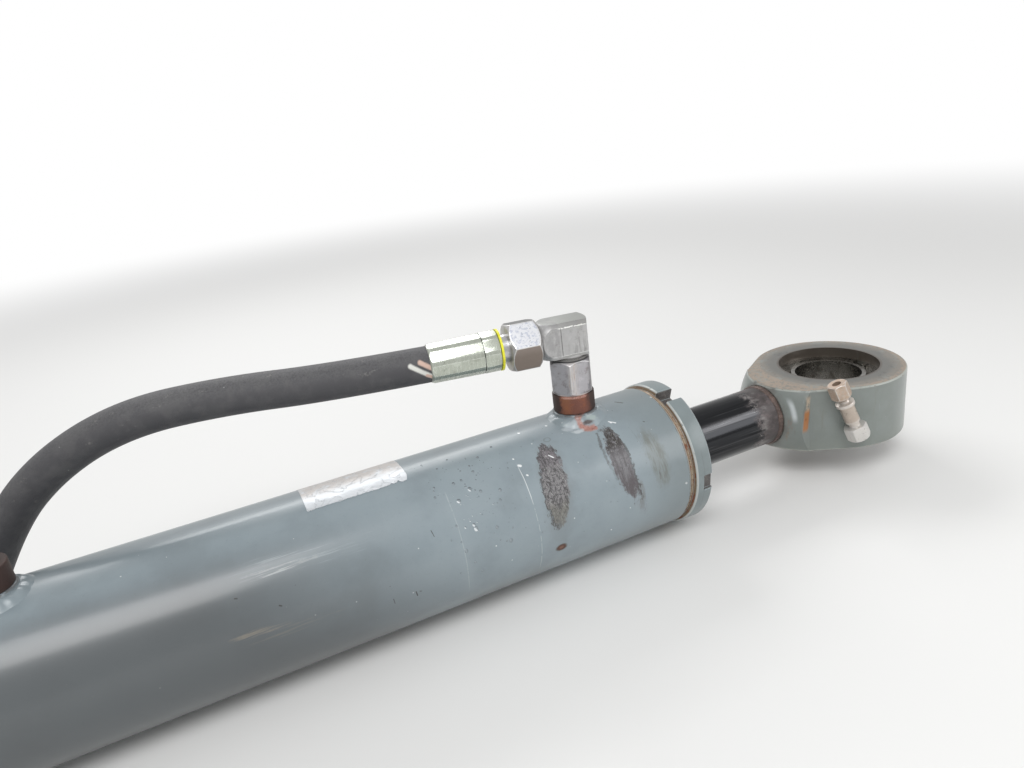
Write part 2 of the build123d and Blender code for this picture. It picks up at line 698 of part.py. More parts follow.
def lube_nut():
    """Union nut on top of the lubrication elbow, its line taken off."""
    level = LUBE_HEX_HEIGHT / 2 + sum(length for _, length in LUBE_STACK)
    return along_sleeve(hexagon_nut(LUBE_NUT_FLATS, LUBE_NUT_LENGTH, LUBE_NUT_BORE_R, level, LUBE_TURN))


def main():
    """Builds every piece and writes one STEP file for each."""
    pieces = {
        "base_bearing_inner": bearing_inner(0),
        "base_bearing_outer": bearing_outer(0),
        "base_circlip_upper": retaining_ring(0, 1),
        "base_circlip_lower": retaining_ring(0, -1),
        "base_eye": base_eye(),
        "base_cap": base_cap(),
        "base_grease_nipple": grease_nipple(),
        "base_weld": weld_bead(CAP_END_X, BARREL_R),
        "barrel_tube": barrel_tube(),
        "base_port_boss": port_boss(BASE_PORT_X),
        "base_port_adapter": port_adapter(BASE_PORT_X),
        "rod_port_boss": port_boss(ROD_PORT_X),
        "rod_port_adapter": port_adapter(ROD_PORT_X),
        "rod_port_nut": port_nut(),
        "rod_port_elbow": elbow(),
        "hose_nut": along_hose(hose_nut()),
        "hose_stem": along_hose(hose_stem()),
        "hose_colour_ring": along_hose(colour_ring()),
        "hose_ferrule": along_hose(ferrule()),
        "hose": hose_tube(),
        "hose_far_ferrule": on_far_end(ferrule()),
        "hose_far_ring": on_far_end(colour_ring()),
        "hose_far_stem": on_far_end(hose_stem()),
        "hose_far_nut": on_far_end(hose_nut()),
        "gland": gland(),
        "wiper_seal": wiper_seal(),
        "rod": rod(),
        "piston": piston(),
        "rod_weld": rod_weld(),
        "rod_eye": rod_eye(),
        "rod_bearing_outer": bearing_outer(ROD_EYE_X),
        "rod_bearing_inner": bearing_inner(ROD_EYE_X),
        "rod_circlip_upper": retaining_ring(ROD_EYE_X, 1),
        "rod_circlip_lower": retaining_ring(ROD_EYE_X, -1),
        "lube_elbow": lube_elbow(),
        "lube_nut": lube_nut(),
    }
    os.makedirs("parts", exist_ok=True)
    for name, piece in pieces.items():
        export_step(piece, f"parts/{name}.step")


main()
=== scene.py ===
"""Steering cylinder of a wheel loader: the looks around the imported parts.

Helpers work in millimetres and degrees, in the same frame as the parts, and turn into metres at the end.
Places on the barrel are given by X and by the arc in millimetres from straight up (+Z) towards the
camera's side (-Y), along the barrel's skin.
"""

import math
import random

import bmesh
import bpy
from mathutils import Matrix, Vector, noise


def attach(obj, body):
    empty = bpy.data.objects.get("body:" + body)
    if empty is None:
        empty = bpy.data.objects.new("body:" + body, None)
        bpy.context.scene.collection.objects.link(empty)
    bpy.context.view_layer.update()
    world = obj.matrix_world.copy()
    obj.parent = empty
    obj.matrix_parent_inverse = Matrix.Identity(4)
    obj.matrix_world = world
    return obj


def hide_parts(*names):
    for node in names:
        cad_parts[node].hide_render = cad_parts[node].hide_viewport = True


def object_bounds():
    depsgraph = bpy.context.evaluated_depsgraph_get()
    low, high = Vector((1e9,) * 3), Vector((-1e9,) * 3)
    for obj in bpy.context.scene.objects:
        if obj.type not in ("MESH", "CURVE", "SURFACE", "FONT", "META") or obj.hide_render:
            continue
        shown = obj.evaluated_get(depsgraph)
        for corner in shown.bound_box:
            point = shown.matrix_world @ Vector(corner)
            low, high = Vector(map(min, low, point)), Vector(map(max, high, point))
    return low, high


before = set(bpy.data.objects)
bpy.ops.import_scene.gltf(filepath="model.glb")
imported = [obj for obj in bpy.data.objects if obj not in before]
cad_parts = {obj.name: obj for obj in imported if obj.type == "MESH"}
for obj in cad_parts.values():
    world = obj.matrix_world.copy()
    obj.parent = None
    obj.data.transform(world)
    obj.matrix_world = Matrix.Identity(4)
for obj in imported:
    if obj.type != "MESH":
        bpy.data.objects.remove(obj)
cad_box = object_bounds()

MM = 0.001

# Places and sizes that the parts have
BARREL_R = 50.0
CAP_END_X = 82.0
BARREL_END_X = 513.3
FLANGE_X = 516.3
FLANGE_R = 51.6
GLAND_X = 530.0
ROD_R = 22.5
NECK_X = 621.0
WELD_SUNK = 0.35  # depth of the beads' foot in the metal
ROD_EYE_X = 691.0
RUST_RUN_X = 633.2
EYE_R = 56.5
EYE_BORE_R = 37.5
EYE_HALF = 25.0
ROD_PORT_X = 456.9
BASE_PORT_X = 114.0
PORT_R = 6.0
BOSS_R = 15.0
BOSS_TOP = 53.5
MOUND_R = 20.6  # of the weld around the boss, where it meets the barrel
MOUND_LOW = 40.0  # height inside the barrel's wall where the weld's mesh ends
ADAPTER_R = 14.0
COLLAR_TOP = 66.3
STUD_R = 10.0
STUD_TOP = 83.5
CONE_R = 7.8
CONE_DEPTH = 4.0
PORT_NUT_TOP = 89.5
ELBOW_Z = 104.1
ELBOW_YAW = 9.8
ELBOW_HALF = 12.0
ELBOW_EDGE = 9.2  # from the elbow's middle to its chamfers' edges
ELBOW_STEP = 8.0
HOSE_NUT_START = 21.6
HOSE_NUT_LENGTH = 19.5
FERRULE_START = 47.4
FERRULE_LENGTH = 45.0
FERRULE_PITCH = 2.6  # of the fine lines across it
NUT_BORE_R = 10.1
NUT_BORE_LENGTH = 14.5
THREAD_PITCH = 1.5
THREAD_DEPTH = 0.9
NUT_BORE_START = 56.3  # from the hose's end to the thread in its far nut
NUT_CHAMFER = math.radians(42.0)
NUT_SHOULDER = 5.0
NUT_ROUND = 0.14  # how softly a nut's faces run into each other
NUT_WEAR = 0.32

# Hose: the route's points, the same as the CAD tube's, in metres
HOSE_START = (0.36585, 0.01573, 0.1041)
HOSE_ROUTE = (
    HOSE_START,
    (0.3050, 0.0255, 0.1055),
    (0.2470, 0.0365, 0.1100),
    (0.1920, 0.0480, 0.1080),
    (0.1470, 0.0600, 0.0880),
    (0.1130, 0.0700, 0.0565),
    (0.0888, 0.0781, 0.0162),
)
HOSE_DIAMETER = 0.023

# Directions: the hose's outgoing way, its camera side, and the hose's way at its far end
yaw = math.radians(ELBOW_YAW)
HOSE_WAY = Vector((-math.cos(yaw), math.sin(yaw), 0.0))
HOSE_SIDE = Vector((-math.sin(yaw), -math.cos(yaw), 0.0))
UP = Vector((0.0, 0.0, 1.0))
FAR_WAY = (Vector(HOSE_ROUTE[-1]) - Vector(HOSE_ROUTE[-2])).normalized()
PORT_AXIS = Vector((ROD_PORT_X, 0.0, ELBOW_Z))
FAR_END = Vector(HOSE_ROUTE[-1]) / MM
FAR_NUT_END = 70.8  # from the hose's end to the far nut's open face
LUBE_LEAN = math.radians(22.0)
LUBE_TURN = math.radians(30.0)
LUBE_OUT = math.sin(LUBE_LEAN)
LUBE_WAY = Vector((-LUBE_OUT * math.cos(LUBE_TURN), LUBE_OUT * math.sin(LUBE_TURN), math.cos(LUBE_LEAN)))
LUBE_REACH = 66.77  # from the rod eye's axis to the fitting's foot
LUBE_BEARING = math.radians(-120.0)
LUBE_FOOT = Vector((
    ROD_EYE_X + LUBE_REACH * math.cos(LUBE_BEARING),
    LUBE_REACH * math.sin(LUBE_BEARING),
    -5.3,
))
LUBE_NUT_START = 30.3

# Rightwards in the photograph, as X and Y
VIEW_RIGHT = (0.894, -0.432)

# Linear colours
PAINT = (0.232, 0.280, 0.306)
PAINT_PALE = (0.36, 0.41, 0.43)
PAINT_DARK = (0.105, 0.120, 0.125)
PAINT_SHADE_FILM = (0.066, 0.070, 0.072)
EYE_PAINT = (0.186, 0.208, 0.194)
DIRT = (0.075, 0.062, 0.050)
GREASE = (0.030, 0.026, 0.022)
RUST_DARK = (0.045, 0.018, 0.012)
WHITE = (0.75, 0.77, 0.78)
ZINC = (0.47, 0.47, 0.47)
BRIGHT = (0.78, 0.78, 0.77)


class Field:
    """A number that varies over a surface: a node's socket that takes part in arithmetic."""

    def __init__(self, look, socket):
        self.look = look
        self.socket = socket

    def __add__(self, other):
        return self.look.math("ADD", self, other)

    def __radd__(self, other):
        return self.look.math("ADD", other, self)

    def __sub__(self, other):
        return self.look.math("SUBTRACT", self, other)

    def __rsub__(self, other):
        return self.look.math("SUBTRACT", other, self)

    def __mul__(self, other):
        return self.look.math("MULTIPLY", self, other)

    def __or__(self, other):
        """The larger of the two."""
        return self.look.math("MAXIMUM", self, other)

    def __abs__(self):
        return self.look.math("ABSOLUTE", self)

    def step(self, low, high):
        """0 below low and 1 above high, smooth between; falling where low is above high."""
        made = self.look.node("ShaderNodeMapRange", interpolation_type="SMOOTHSTEP")
        self.look.feed(made.inputs["Value"], self)
        limits = (low, high, 0.0, 1.0) if low < high else (high, low, 1.0, 0.0)
        for name, limit in zip(("From Min", "From Max", "To Min", "To Max"), limits):
            made.inputs[name].default_value = limit
        return Field(self.look, made.outputs["Result"])

    def band(self, low, high, soft):
        """1 between low and high, with soft ends."""
        return self.step(low - soft, low + soft) * self.step(high + soft, high - soft)


class Finish:
    """A material built up in coats, each of which covers what lies under it where its mask is 1."""

    def __init__(self, name, colour, rough, metal=0.0):
        self.material = bpy.data.materials.new(name)
        self.material.use_nodes = True
        self.nodes = self.material.node_tree.nodes
        self.links = self.material.node_tree.links
        self.nodes.clear()
        self.output = self.nodes.new("ShaderNodeOutputMaterial")
        self.shader = self.nodes.new("ShaderNodeBsdfPrincipled")
        self.links.new(self.shader.outputs[0], self.output.inputs["Surface"])
        self.colour = colour
        self.rough = rough
        self.metal = metal
        self.height = None
        self.clouds = {}
        self.coordinates = self.nodes.new("ShaderNodeTexCoord")
        scaled = self.node("ShaderNodeVectorMath", operation="SCALE")
        self.feed(scaled.inputs[0], self.coordinates.outputs["Object"])
        scaled.inputs["Scale"].default_value = 1.0 / MM
        self.place = scaled.outputs[0]
        split = self.node("ShaderNodeSeparateXYZ")
        self.feed(split.inputs[0], self.place)
        self.x, self.y, self.z = (Field(self, socket) for socket in split.outputs)

    def node(self, kind, **settings):
        made = self.nodes.new(kind)
        for key, value in settings.items():
            setattr(made, key, value)
        return made

    def feed(self, socket, value):
        if isinstance(value, Field):
            value = value.socket
        if isinstance(value, bpy.types.NodeSocket):
            self.links.new(value, socket)
        elif socket.type == "RGBA" and len(value) == 3:
            socket.default_value = (*value, 1.0)
        else:
            socket.default_value = value

    def math(self, operation, first, second=0.0):
        made = self.node("ShaderNodeMath", operation=operation)
        self.feed(made.inputs[0], first)
        self.feed(made.inputs[1], second)
        return Field(self, made.outputs[0])

    def long(self, first, second):
        """Length of a two-part offset."""
        return self.math("SQRT", first * first + second * second)

    def mix(self, mask, under, over):
        socket = under.socket if isinstance(under, Field) else None
        if isinstance(under, tuple) or getattr(socket, "type", "") == "RGBA":
            made, slots = self.node("ShaderNodeMix", data_type="RGBA"), (0, 6, 7, 2)
        else:
            made, slots = self.node("ShaderNodeMix", data_type="FLOAT"), (0, 2, 3, 0)
        for slot, value in zip(slots, (mask, under, over)):
            self.feed(made.inputs[slot], value)
        return Field(self, made.outputs[slots[3]])

    def texture(self, kind, size, stretch, shift):
        """A texture node over the stretched and shifted place, its scale set by size in millimetres."""
        mapping = self.node("ShaderNodeMapping")
        self.feed(mapping.inputs["Vector"], self.place)
        mapping.inputs["Scale"].default_value = stretch
        mapping.inputs["Location"].default_value = (shift, shift * 0.7, shift * 1.3)
        made = self.node(kind)
        self.feed(made.inputs["Vector"], mapping.outputs[0])
        made.inputs["Scale"].default_value = 1.0 / size
        return made

    def noise(self, size, detail=3.0, rough=0.55, stretch=(1, 1, 1), shift=0.0, twist=0.0):
        """Cloudy pattern from 0 to 1, its largest lumps about size across; like ones are shared."""
        kind = (size, detail, rough, stretch, shift, twist)
        if kind not in self.clouds:
            made = self.texture("ShaderNodeTexNoise", size, stretch, shift)
            made.inputs["Detail"].default_value = detail
            made.inputs["Roughness"].default_value = rough
            made.inputs["Distortion"].default_value = twist
            self.clouds[kind] = Field(self, made.outputs[0])
        return self.clouds[kind]

    def ragged(self, size, rough, shift, depth):
        """Noise about 0, depth from its lowest to its highest."""
        return (self.noise(size, 4.0, rough, shift=shift) - 0.5) * depth

    def veins(self, size, width, stretch=(1, 1, 1), shift=0.0):
        """Thin winding lines, where a cloudy pattern crosses its middle."""
        return abs(self.noise(size, 2.0, 0.5, stretch, shift, 0.6) - 0.5).step(width, 0.35 * width)

    def dots(self, size, share, spread, shift=0.0):
        """Round specks about size across, one in every spread millimetres, of which a share is kept."""
        made = self.texture("ShaderNodeTexVoronoi", spread, (1, 1, 1), shift)
        kept = self.node("ShaderNodeSeparateXYZ")
        self.feed(kept.inputs[0], made.outputs["Color"])
        chance = Field(self, kept.outputs[0])
        radius = Field(self, kept.outputs[1]) * (0.5 * size / spread)
        near = (radius - made.outputs["Distance"]).step(-0.03, 0.03)
        return near * chance.step(1 - share - 0.01, 1 - share + 0.01)

    def cells(self, size, stretch):
        """Distance from the edges between cells about size across."""
        made = self.texture("ShaderNodeTexVoronoi", size, stretch, 0.0)
        made.feature = "DISTANCE_TO_EDGE"
        return Field(self, made.outputs["Distance"])

    def coat(self, mask, colour=None, rough=None, metal=None):
        for quality, value in (("colour", colour), ("rough", rough), ("metal", metal)):
            if value is not None:
                setattr(self, quality, self.mix(mask, getattr(self, quality), value))

    def relief(self, pattern, depth):
        """Adds a pattern from 0 to 1 to the surface's height, depth in millimetres."""
        rise = pattern * depth
        self.height = rise if self.height is None else self.height + rise

    def around(self):
        """Radius, angle in degrees and arc length on the barrel, about the cylinder's axis."""
        turn = self.math("ARCTAN2", self.y * -1.0, self.z)
        return self.long(self.y, self.z), turn * (180 / math.pi), turn * BARREL_R

    def sideways(self):
        """Distance to the right of the rod port's axis, as the photograph shows it."""
        return (self.x - ROD_PORT_X) * VIEW_RIGHT[0] + self.y * VIEW_RIGHT[1]

    def dot(self, first, way):
        made = self.node("ShaderNodeVectorMath", operation="DOT_PRODUCT")
        self.feed(made.inputs[0], first)
        made.inputs[1].default_value = way
        return Field(self, made.outputs["Value"])

    def along(self, centre, way):
        """Distance from centre along a direction."""
        offset = self.node("ShaderNodeVectorMath", operation="SUBTRACT")
        self.feed(offset.inputs[0], self.place)
        offset.inputs[1].default_value = centre
        return self.dot(offset.outputs[0], way)

    def facing(self, way, low=0.90, high=0.98):
        """1 where the surface looks towards way."""
        return self.dot(self.coordinates.outputs["Normal"], Vector(way).normalized()).step(low, high)

    def worn(self):
        """1 on the rounded edges of a softened piece."""
        return Field(self, self.node("ShaderNodeAttribute", attribute_name="wear").outputs["Fac"])

    def oval(self, along, across, centre, half, lean=0.0, rag=0.5, shift=0.0, grain=5.0):
        """Field that is above 0 in a ragged oval about centre, half as wide and long as half says."""
        run = across - centre[1]
        out = self.long((along - centre[0] - run * lean) * (1 / half[0]), run * (1 / half[1]))
        return 1.0 - out + self.ragged(grain, 0.6, shift, 2 * rag)

    def patch(self, along, across, centre, half, lean=0.0, rag=0.5, soft=0.25, shift=0.0, grain=5.0):
        """Mask of a ragged oval."""
        return self.oval(along, across, centre, half, lean, rag, shift, grain).step(-soft, soft)

    def stroke(self, along, across, start, end, width, rag=0.3, shift=0.0, grain=2.5):
        """Mask of a straight mark between two places, its width ragged."""
        run = (end[0] - start[0], end[1] - start[1])
        square = run[0] ** 2 + run[1] ** 2
        first, second = along - start[0], across - start[1]
        share = self.math("MINIMUM", first * (run[0] / square) + second * (run[1] / square) | 0.0, 1.0)
        out = self.long(first - share * run[0], second - share * run[1])
        return (out + self.ragged(grain, 0.7, shift, 4 * rag * width)).step(width, 0.35 * width)

    def done(self, **shader_settings):
        for name, value in (("Base Color", self.colour), ("Roughness", self.rough), ("Metallic", self.metal)):
            self.feed(self.shader.inputs[name], value)
        for name, value in shader_settings.items():
            self.feed(self.shader.inputs[name.replace("_", " ").title().replace("Ior", "IOR")], value)
        if self.height is not None:
            bump = self.node("ShaderNodeBump")
            bump.inputs["Distance"].default_value = MM
            bump.inputs["Strength"].default_value = 1.0
            self.feed(bump.inputs["Height"], self.height)
            self.links.new(bump.outputs[0], self.shader.inputs["Normal"])
        return self.material


def painted(name, paint, seed, rough=0.34):
    """Satin machine paint with faint clouding, dust, pale specks and an orange-peel surface."""
    look = Finish(name, paint, rough)
    clouds = look.noise(38.0, 4.0, 0.6, shift=seed)
    look.coat(clouds.step(0.42, 0.72) * 0.14, PAINT_PALE, rough + 0.06)
    look.coat(clouds.step(0.52, 0.3) * 0.2, PAINT_DARK, rough - 0.04)
    fine = look.noise(1.6, 5.0, 0.7, shift=seed + 3)
    look.coat(fine.step(0.55, 0.8) * 0.2, DIRT, 0.6)
    look.coat(look.dots(0.9, 0.16, 4.5, seed) * 0.75, WHITE, 0.5)
    look.coat(look.dots(0.8, 0.1, 6.0, seed + 9) * 0.8, GREASE, 0.5)
    look.relief(look.noise(2.2, 2.0, 0.4, shift=seed + 5), 0.018)
    look.relief(look.noise(0.35, 2.0, 0.5, shift=seed + 6), 0.004)
    return look


def underside_dirt_and_shade(look):
    """Dirt that settled on the barrel's underside, and a dark patch towards the base end that is painted
    shade with a little oily film.
    """
    _, angle, _ = look.around()
    turned = abs(angle)
    film = look.noise(30.0, 5.0, 0.65, (0.5, 1, 1), 4.0).step(0.36, 0.6)
    look.coat(turned.step(105.0, 150.0) * film * 0.5, DIRT, 0.5)
    # Painted shade towards the base end, on the camera's side and underneath, with a little oily film
    drift = (look.noise(60.0, 3.0, 0.5, (0.4, 1, 1), 6.0) - 0.5) * 60.0
    reach = look.x - (angle - 50.0) * 0.8 + drift
    near = reach.step(350.0, 190.0) * angle.step(18.0, 52.0) * angle.step(178.0, 150.0)
    look.coat(near * 0.85, PAINT_SHADE_FILM, 0.31)


def axial_streaks(look):
    """Pale and warm-brown streaks along the barrel near its base end, with small dark ticks."""
    _, _, arc = look.around()
    grain = look.noise(1.5, 4.0, 0.72, (0.035, 1, 1), 12.0)
    for centre, half, lean, strength, coarse, colour in (
        ((250.0, 44.4), (17.0, 2.2), 2.0, 0.80, 0.50, (0.42, 0.44, 0.44)),
        ((266.0, 42.0), (30.0, 7.0), 2.0, 0.38, 0.54, PAINT_PALE),
        ((254.0, 38.0), (18.0, 2.0), 0.0, 0.36, 0.50, PAINT_PALE),
        ((231.0, 72.0), (12.0, 1.9), 3.0, 0.52, 0.46, (0.27, 0.235, 0.185)),
        ((254.0, 77.6), (22.0, 2.6), 3.0, 0.22, 0.46, (0.24, 0.22, 0.17)),
    ):
        rub = look.patch(look.x, arc, centre, half, lean, 0.6, 0.45, 3.0, 5.0)
        look.coat(rub * grain.step(coarse, coarse + 0.12) * strength, colour, 0.5)
    for start, end, width in (
        ((333.2, 51.4), (334.0, 55.2), 0.32),
        ((316.4, 83.4), (316.9, 86.4), 0.5),
        ((318.6, 84.0), (319.6, 84.4), 0.35),
        ((303.0, 82.6), (303.4, 86.0), 0.3),
        ((224.3, 51.0), (225.4, 51.4), 0.5),
        ((244.3, 62.2), (245.3, 62.8), 0.5),
        ((492.4, 29.2), (493.2, 29.8), 0.5),
        ((486.8, 3.4), (490.2, 7.4), 0.7),
    ):
        look.coat(look.stroke(look.x, arc, start, end, width, 0.2) * 0.85, GREASE, 0.6)


def scuff_one(look):
    """Leaf-shaped scuff worn to the primer, full of thin winding dark lines, olive at its lower end."""
    _, _, arc = look.around()
    narrow = arc.step(50.0, 84.0) * 0.16
    field = look.oval(look.x, arc, (415.4, 51.0), (8.9, 29.0), -0.15, 0.26, 1.0, 3.0) - narrow
    fibres = (look.noise(1.6, 4.0, 0.75, (1, 0.22, 0.22), 21.0) - 0.5) * 0.75
    field = field + fibres
    scuff = field.step(-0.06, 0.14) * look.mix(arc.step(62.0, 76.0), 1.0, 0.72)
    drift = (look.noise(9.0, 3.0, shift=2.0) - 0.5) * 14.0
    down = arc + drift
    halo = look.patch(look.x, arc, (415.8, 55.0), (10.6, 35.0), -0.15, 0.5, 0.30, 1.5, 7.0)
    look.coat(halo * 0.28, (0.17, 0.185, 0.19), 0.5)
    look.coat(scuff, (0.205, 0.200, 0.205), 0.62)
    look.coat(scuff * down.step(44.0, 34.0) * 0.85, (0.15, 0.136, 0.15), 0.6)
    look.coat(scuff * down.step(56.0, 70.0) * 0.85, (0.15, 0.148, 0.122), 0.65)
    pale = look.noise(1.7, 4.0, 0.7, (1, 0.55, 0.55), 5.0, twist=0.8).step(0.53, 0.66)
    look.coat(scuff * pale * 0.75, (0.33, 0.33, 0.325), 0.5)
    lines = look.veins(2.9, 0.048, (1, 0.50, 0.50), 7.0)
    thin = look.veins(1.3, 0.050, (1, 0.62, 0.62), 8.0)
    strong = look.mix(down.step(58.0, 72.0), 0.88, 0.5)
    look.coat(scuff * (lines | thin * 0.75) * strong, (0.052, 0.05, 0.052), 0.75)
    blobs = look.noise(3.2, 4.0, 0.65, (1, 0.7, 0.7), 9.0).step(0.6, 0.66)
    look.coat(scuff * blobs * 0.8, (0.035, 0.033, 0.033), 0.75)
    rim = field.band(0.0, 0.1, 0.05) * (look.x.step(414.0, 410.0) | arc.step(38.0, 30.0))
    look.coat(rim * 0.75, (0.045, 0.043, 0.045), 0.7)
    dash = look.stroke(look.x, arc, (419.6, 31.0), (421.8, 33.4), 0.55, 0.2)
    look.coat(dash, WHITE, 0.5)
    look.relief(scuff * (lines | blobs), -0.09)
    look.relief(scuff, -0.02)


def scuff_two(look):
    """Scuff with black-brown blotches at its top that smear down into purple-grey streaks."""
    _, _, arc = look.around()
    bend = arc.step(56.0, 84.0) * 5.5
    across = look.x - bend
    field = look.oval(across, arc, (464.4, 51.0), (7.3, 27.0), 0.0, 0.34, 2.0, 2.6)
    streaks = look.noise(2.4, 6.0, 0.80, (1, 0.18, 0.18), 5.0)
    field = field + (streaks - 0.5) * 0.9
    scuff = field.step(-0.05, 0.22)
    tail = look.patch(look.x, arc, (471.5, 74.0), (4.6, 15.0), 0.22, 0.5, 0.35, 3.0, 3.0)
    look.coat(tail * streaks.step(0.4, 0.62) * 0.55, (0.135, 0.12, 0.11), 0.6)
    look.coat(scuff * 0.8, (0.155, 0.142, 0.148), 0.6)
    look.coat(scuff * streaks.step(0.42, 0.58) * 0.8, (0.085, 0.076, 0.082), 0.66)
    look.coat(scuff * arc.step(56.0, 66.0) * streaks.step(0.3, 0.5) * 0.85, (0.085, 0.074, 0.08), 0.66)
    look.coat(scuff * streaks.step(0.64, 0.72) * 0.65, (0.3, 0.3, 0.31), 0.5)
    top = scuff * (arc + (streaks - 0.5) * 24.0).step(47.0, 37.0)
    blotch = look.noise(3.0, 5.0, 0.72, (1, 0.8, 0.8), 11.0).step(0.43, 0.52)
    look.coat(top * blotch * 0.95, (0.02, 0.016, 0.013), 0.55)
    flecks = look.noise(1.3, 4.0, 0.7, shift=13.0).step(0.6, 0.66)
    look.coat(top * flecks * 0.9, (0.5, 0.5, 0.47), 0.45)
    look.coat(field.band(0.0, 0.12, 0.05) * across.step(466.0, 469.0) * 0.6, GREASE, 0.6)
    look.relief(scuff * (blotch | streaks.step(0.44, 0.6)), -0.06)
    for start, end, width, strength in (
        ((457.6, 27.6), (455.2, 37.0), 1.3, 0.62),
        ((455.2, 37.0), (455.0, 48.0), 1.2, 0.48),
        ((455.4, 48.0), (457.4, 60.0), 1.3, 0.30),
        ((460.0, 25.8), (466.0, 26.6), 1.6, 0.42),
    ):
        mark = look.stroke(look.x, arc, start, end, width, 0.8, 4.0, 2.0)
        look.coat(mark * streaks.step(0.36, 0.5) * strength, (0.055, 0.052, 0.05), 0.6)
    speckle = look.noise(0.9, 4.0, 0.75, shift=17.0).step(0.52, 0.62)
    look.coat(scuff * speckle * 0.45, (0.05, 0.044, 0.046), 0.7)


def scuff_three(look):
    """A faint greenish-tan scuff nearer the gland with a dark line on its left."""
    _, _, arc = look.around()
    streaks = look.noise(2.2, 4.0, 0.72, (1, 0.16, 0.16), 15.0).step(0.4, 0.58)
    faint = look.patch(look.x, arc, (490.2, 55.0), (6.2, 18.5), 0.06, 0.5, 0.45, 4.0, 4.0)
    look.coat(faint * 0.34, (0.165, 0.165, 0.13), 0.55)
    look.coat(faint * streaks * 0.55, (0.11, 0.104, 0.078), 0.6)
    for start, end, width, strength in (
        ((486.0, 44.0), (488.6, 66.0), 0.7, 0.45),
        ((488.4, 60.0), (490.0, 73.0), 0.9, 0.45),
        ((480.5, 30.0), (482.5, 44.0), 0.6, 0.20),
    ):
        mark = look.stroke(look.x, arc, start, end, width, 0.6)
        look.coat(mark * streaks * strength, (0.07, 0.068, 0.06), 0.6)


def scratches(look):
    """White scratch around the barrel with its flecks, a fainter one beside it and the rust spot below."""
    _, _, arc = look.around()
    wave = (look.noise(26.0, 2.0, shift=8.0) - 0.5) * 2.0
    broken = look.noise(4.0, 3.0, 0.7, shift=9.0).step(0.34, 0.48)
    along = look.x + wave
    for x, start, bright, end, width, strength in (
        (397.9, 33.0, 54.0, 104.0, 0.34, 0.62),
        (349.0, 36.0, 37.0, 96.0, 0.50, 0.30),
    ):
        line = abs(along - x).step(width, 0.3 * width)
        look.coat(line * arc.band(start, bright, 5.0) * strength, WHITE, 0.45)
        look.coat(line * arc.band(start, end, 6.0) * broken * (0.4 * strength), WHITE, 0.45)
    look.coat(look.x.band(345.5, 353.0, 3.0) * (arc.band(40.0, 100.0, 20.0) * 0.1), PAINT_PALE)
    for x, down, size in (
        (397.2, 25.5, 0.6), (398.6, 31.2, 1.2), (399.4, 31.8, 0.6), (400.6, 38.8, 0.7), (508.0, 78.9, 0.9),
        (511.0, 10.8, 0.8), (449.0, 94.0, 0.5), (411.5, 4.5, 0.8), (431.0, 6.0, 0.7), (470.9, 22.0, 0.8),
    ):
        end = (x + 0.6 * size, down + 0.5 * size)
        look.coat(look.stroke(look.x, arc, (x, down), end, size, 0.25, 0.0, 1.2), WHITE, 0.4)
    chip = look.stroke(look.x, arc, (470.4, 20.8), (474.0, 23.6), 0.6, 0.4)
    look.coat(chip, WHITE, 0.4)
    ring = look.oval(look.x, arc, (424.6, 19.4), (2.6, 2.0), 0.0, 0.15, 4.0, 2.0)
    look.coat(ring.band(0.0, 0.3, 0.12) * 0.45, PAINT_DARK, 0.5)
    spot = look.oval(look.x, arc, (412.1, 92.4), (3.9, 2.7), 0.0, 0.14, 5.0, 2.0)
    look.coat(spot.step(-0.25, 0.1) * 0.7, DIRT, 0.6)
    look.coat(spot.step(0.0, 0.25), (0.085, 0.04, 0.028), 0.8)
    look.coat(spot.step(0.45, 0.75) * 0.6, (0.21, 0.105, 0.07), 0.8)
    look.relief(spot.step(0.0, 0.4), 0.12)


def mound_marks(look):
    """Rust that ran from the port's collar in a hook over the weld, with a dark rust patch, painted
    highlights on the weld and painted shade at the collar's foot.
    """
    upper = look.z.step(43.0, 44.5) * look.long(look.x - ROD_PORT_X, look.y).step(25.0, 24.0)
    hook = None
    points = ((455.0, -12.4), (451.0, -14.2), (450.4, -17.2), (452.2, -20.2), (455.4, -21.4), (459.0, -21.3))
    for start, end in zip(points, points[1:]):
        part = look.stroke(look.x, look.y, start, end, 2.5, 0.22, 2.0, 2.5)
        hook = part if hook is None else hook | part
    hook = hook * upper
    core = look.noise(1.6, 4.0, 0.7, shift=4.0)
    look.coat(hook * 0.92, (0.36, 0.165, 0.13), 0.7)
    look.coat(hook * core.step(0.54, 0.66) * 0.8, (0.17, 0.062, 0.045), 0.8)
    look.coat(hook * core.step(0.42, 0.32) * 0.7, (0.56, 0.34, 0.3), 0.6)
    # A dark rust patch, then painted highlights: greenish-white in the hook's hollow and white along the
    # weld's lower left
    for centre, half, colour, strength in (
        ((456.2, -17.9), (3.4, 1.0), RUST_DARK, 0.80),
        ((460.4, -16.2), (3.8, 1.3), (0.40, 0.47, 0.44), 0.50),
        ((444.0, -15.6), (6.5, 2.4), (0.50, 0.55, 0.58), 0.50),
        ((447.0, -20.3), (4.5, 1.3), (0.62, 0.66, 0.68), 0.55),
    ):
        patch = look.patch(look.x, look.y, centre, half, 0.0, 0.85, 0.45, 6.0, 2.6)
        look.coat(patch * upper * strength, colour, 0.25)
    look.relief(hook * core, 0.35)
    # Painted shade around the collar's foot
    collar = look.z.step(BOSS_TOP - 1.6, BOSS_TOP - 0.4) * look.noise(4.0, 4.0, shift=9.0).step(0.36, 0.52)
    look.coat(collar * look.z.step(52.0, 52.4) * 0.7, (0.05, 0.045, 0.044), 0.6)


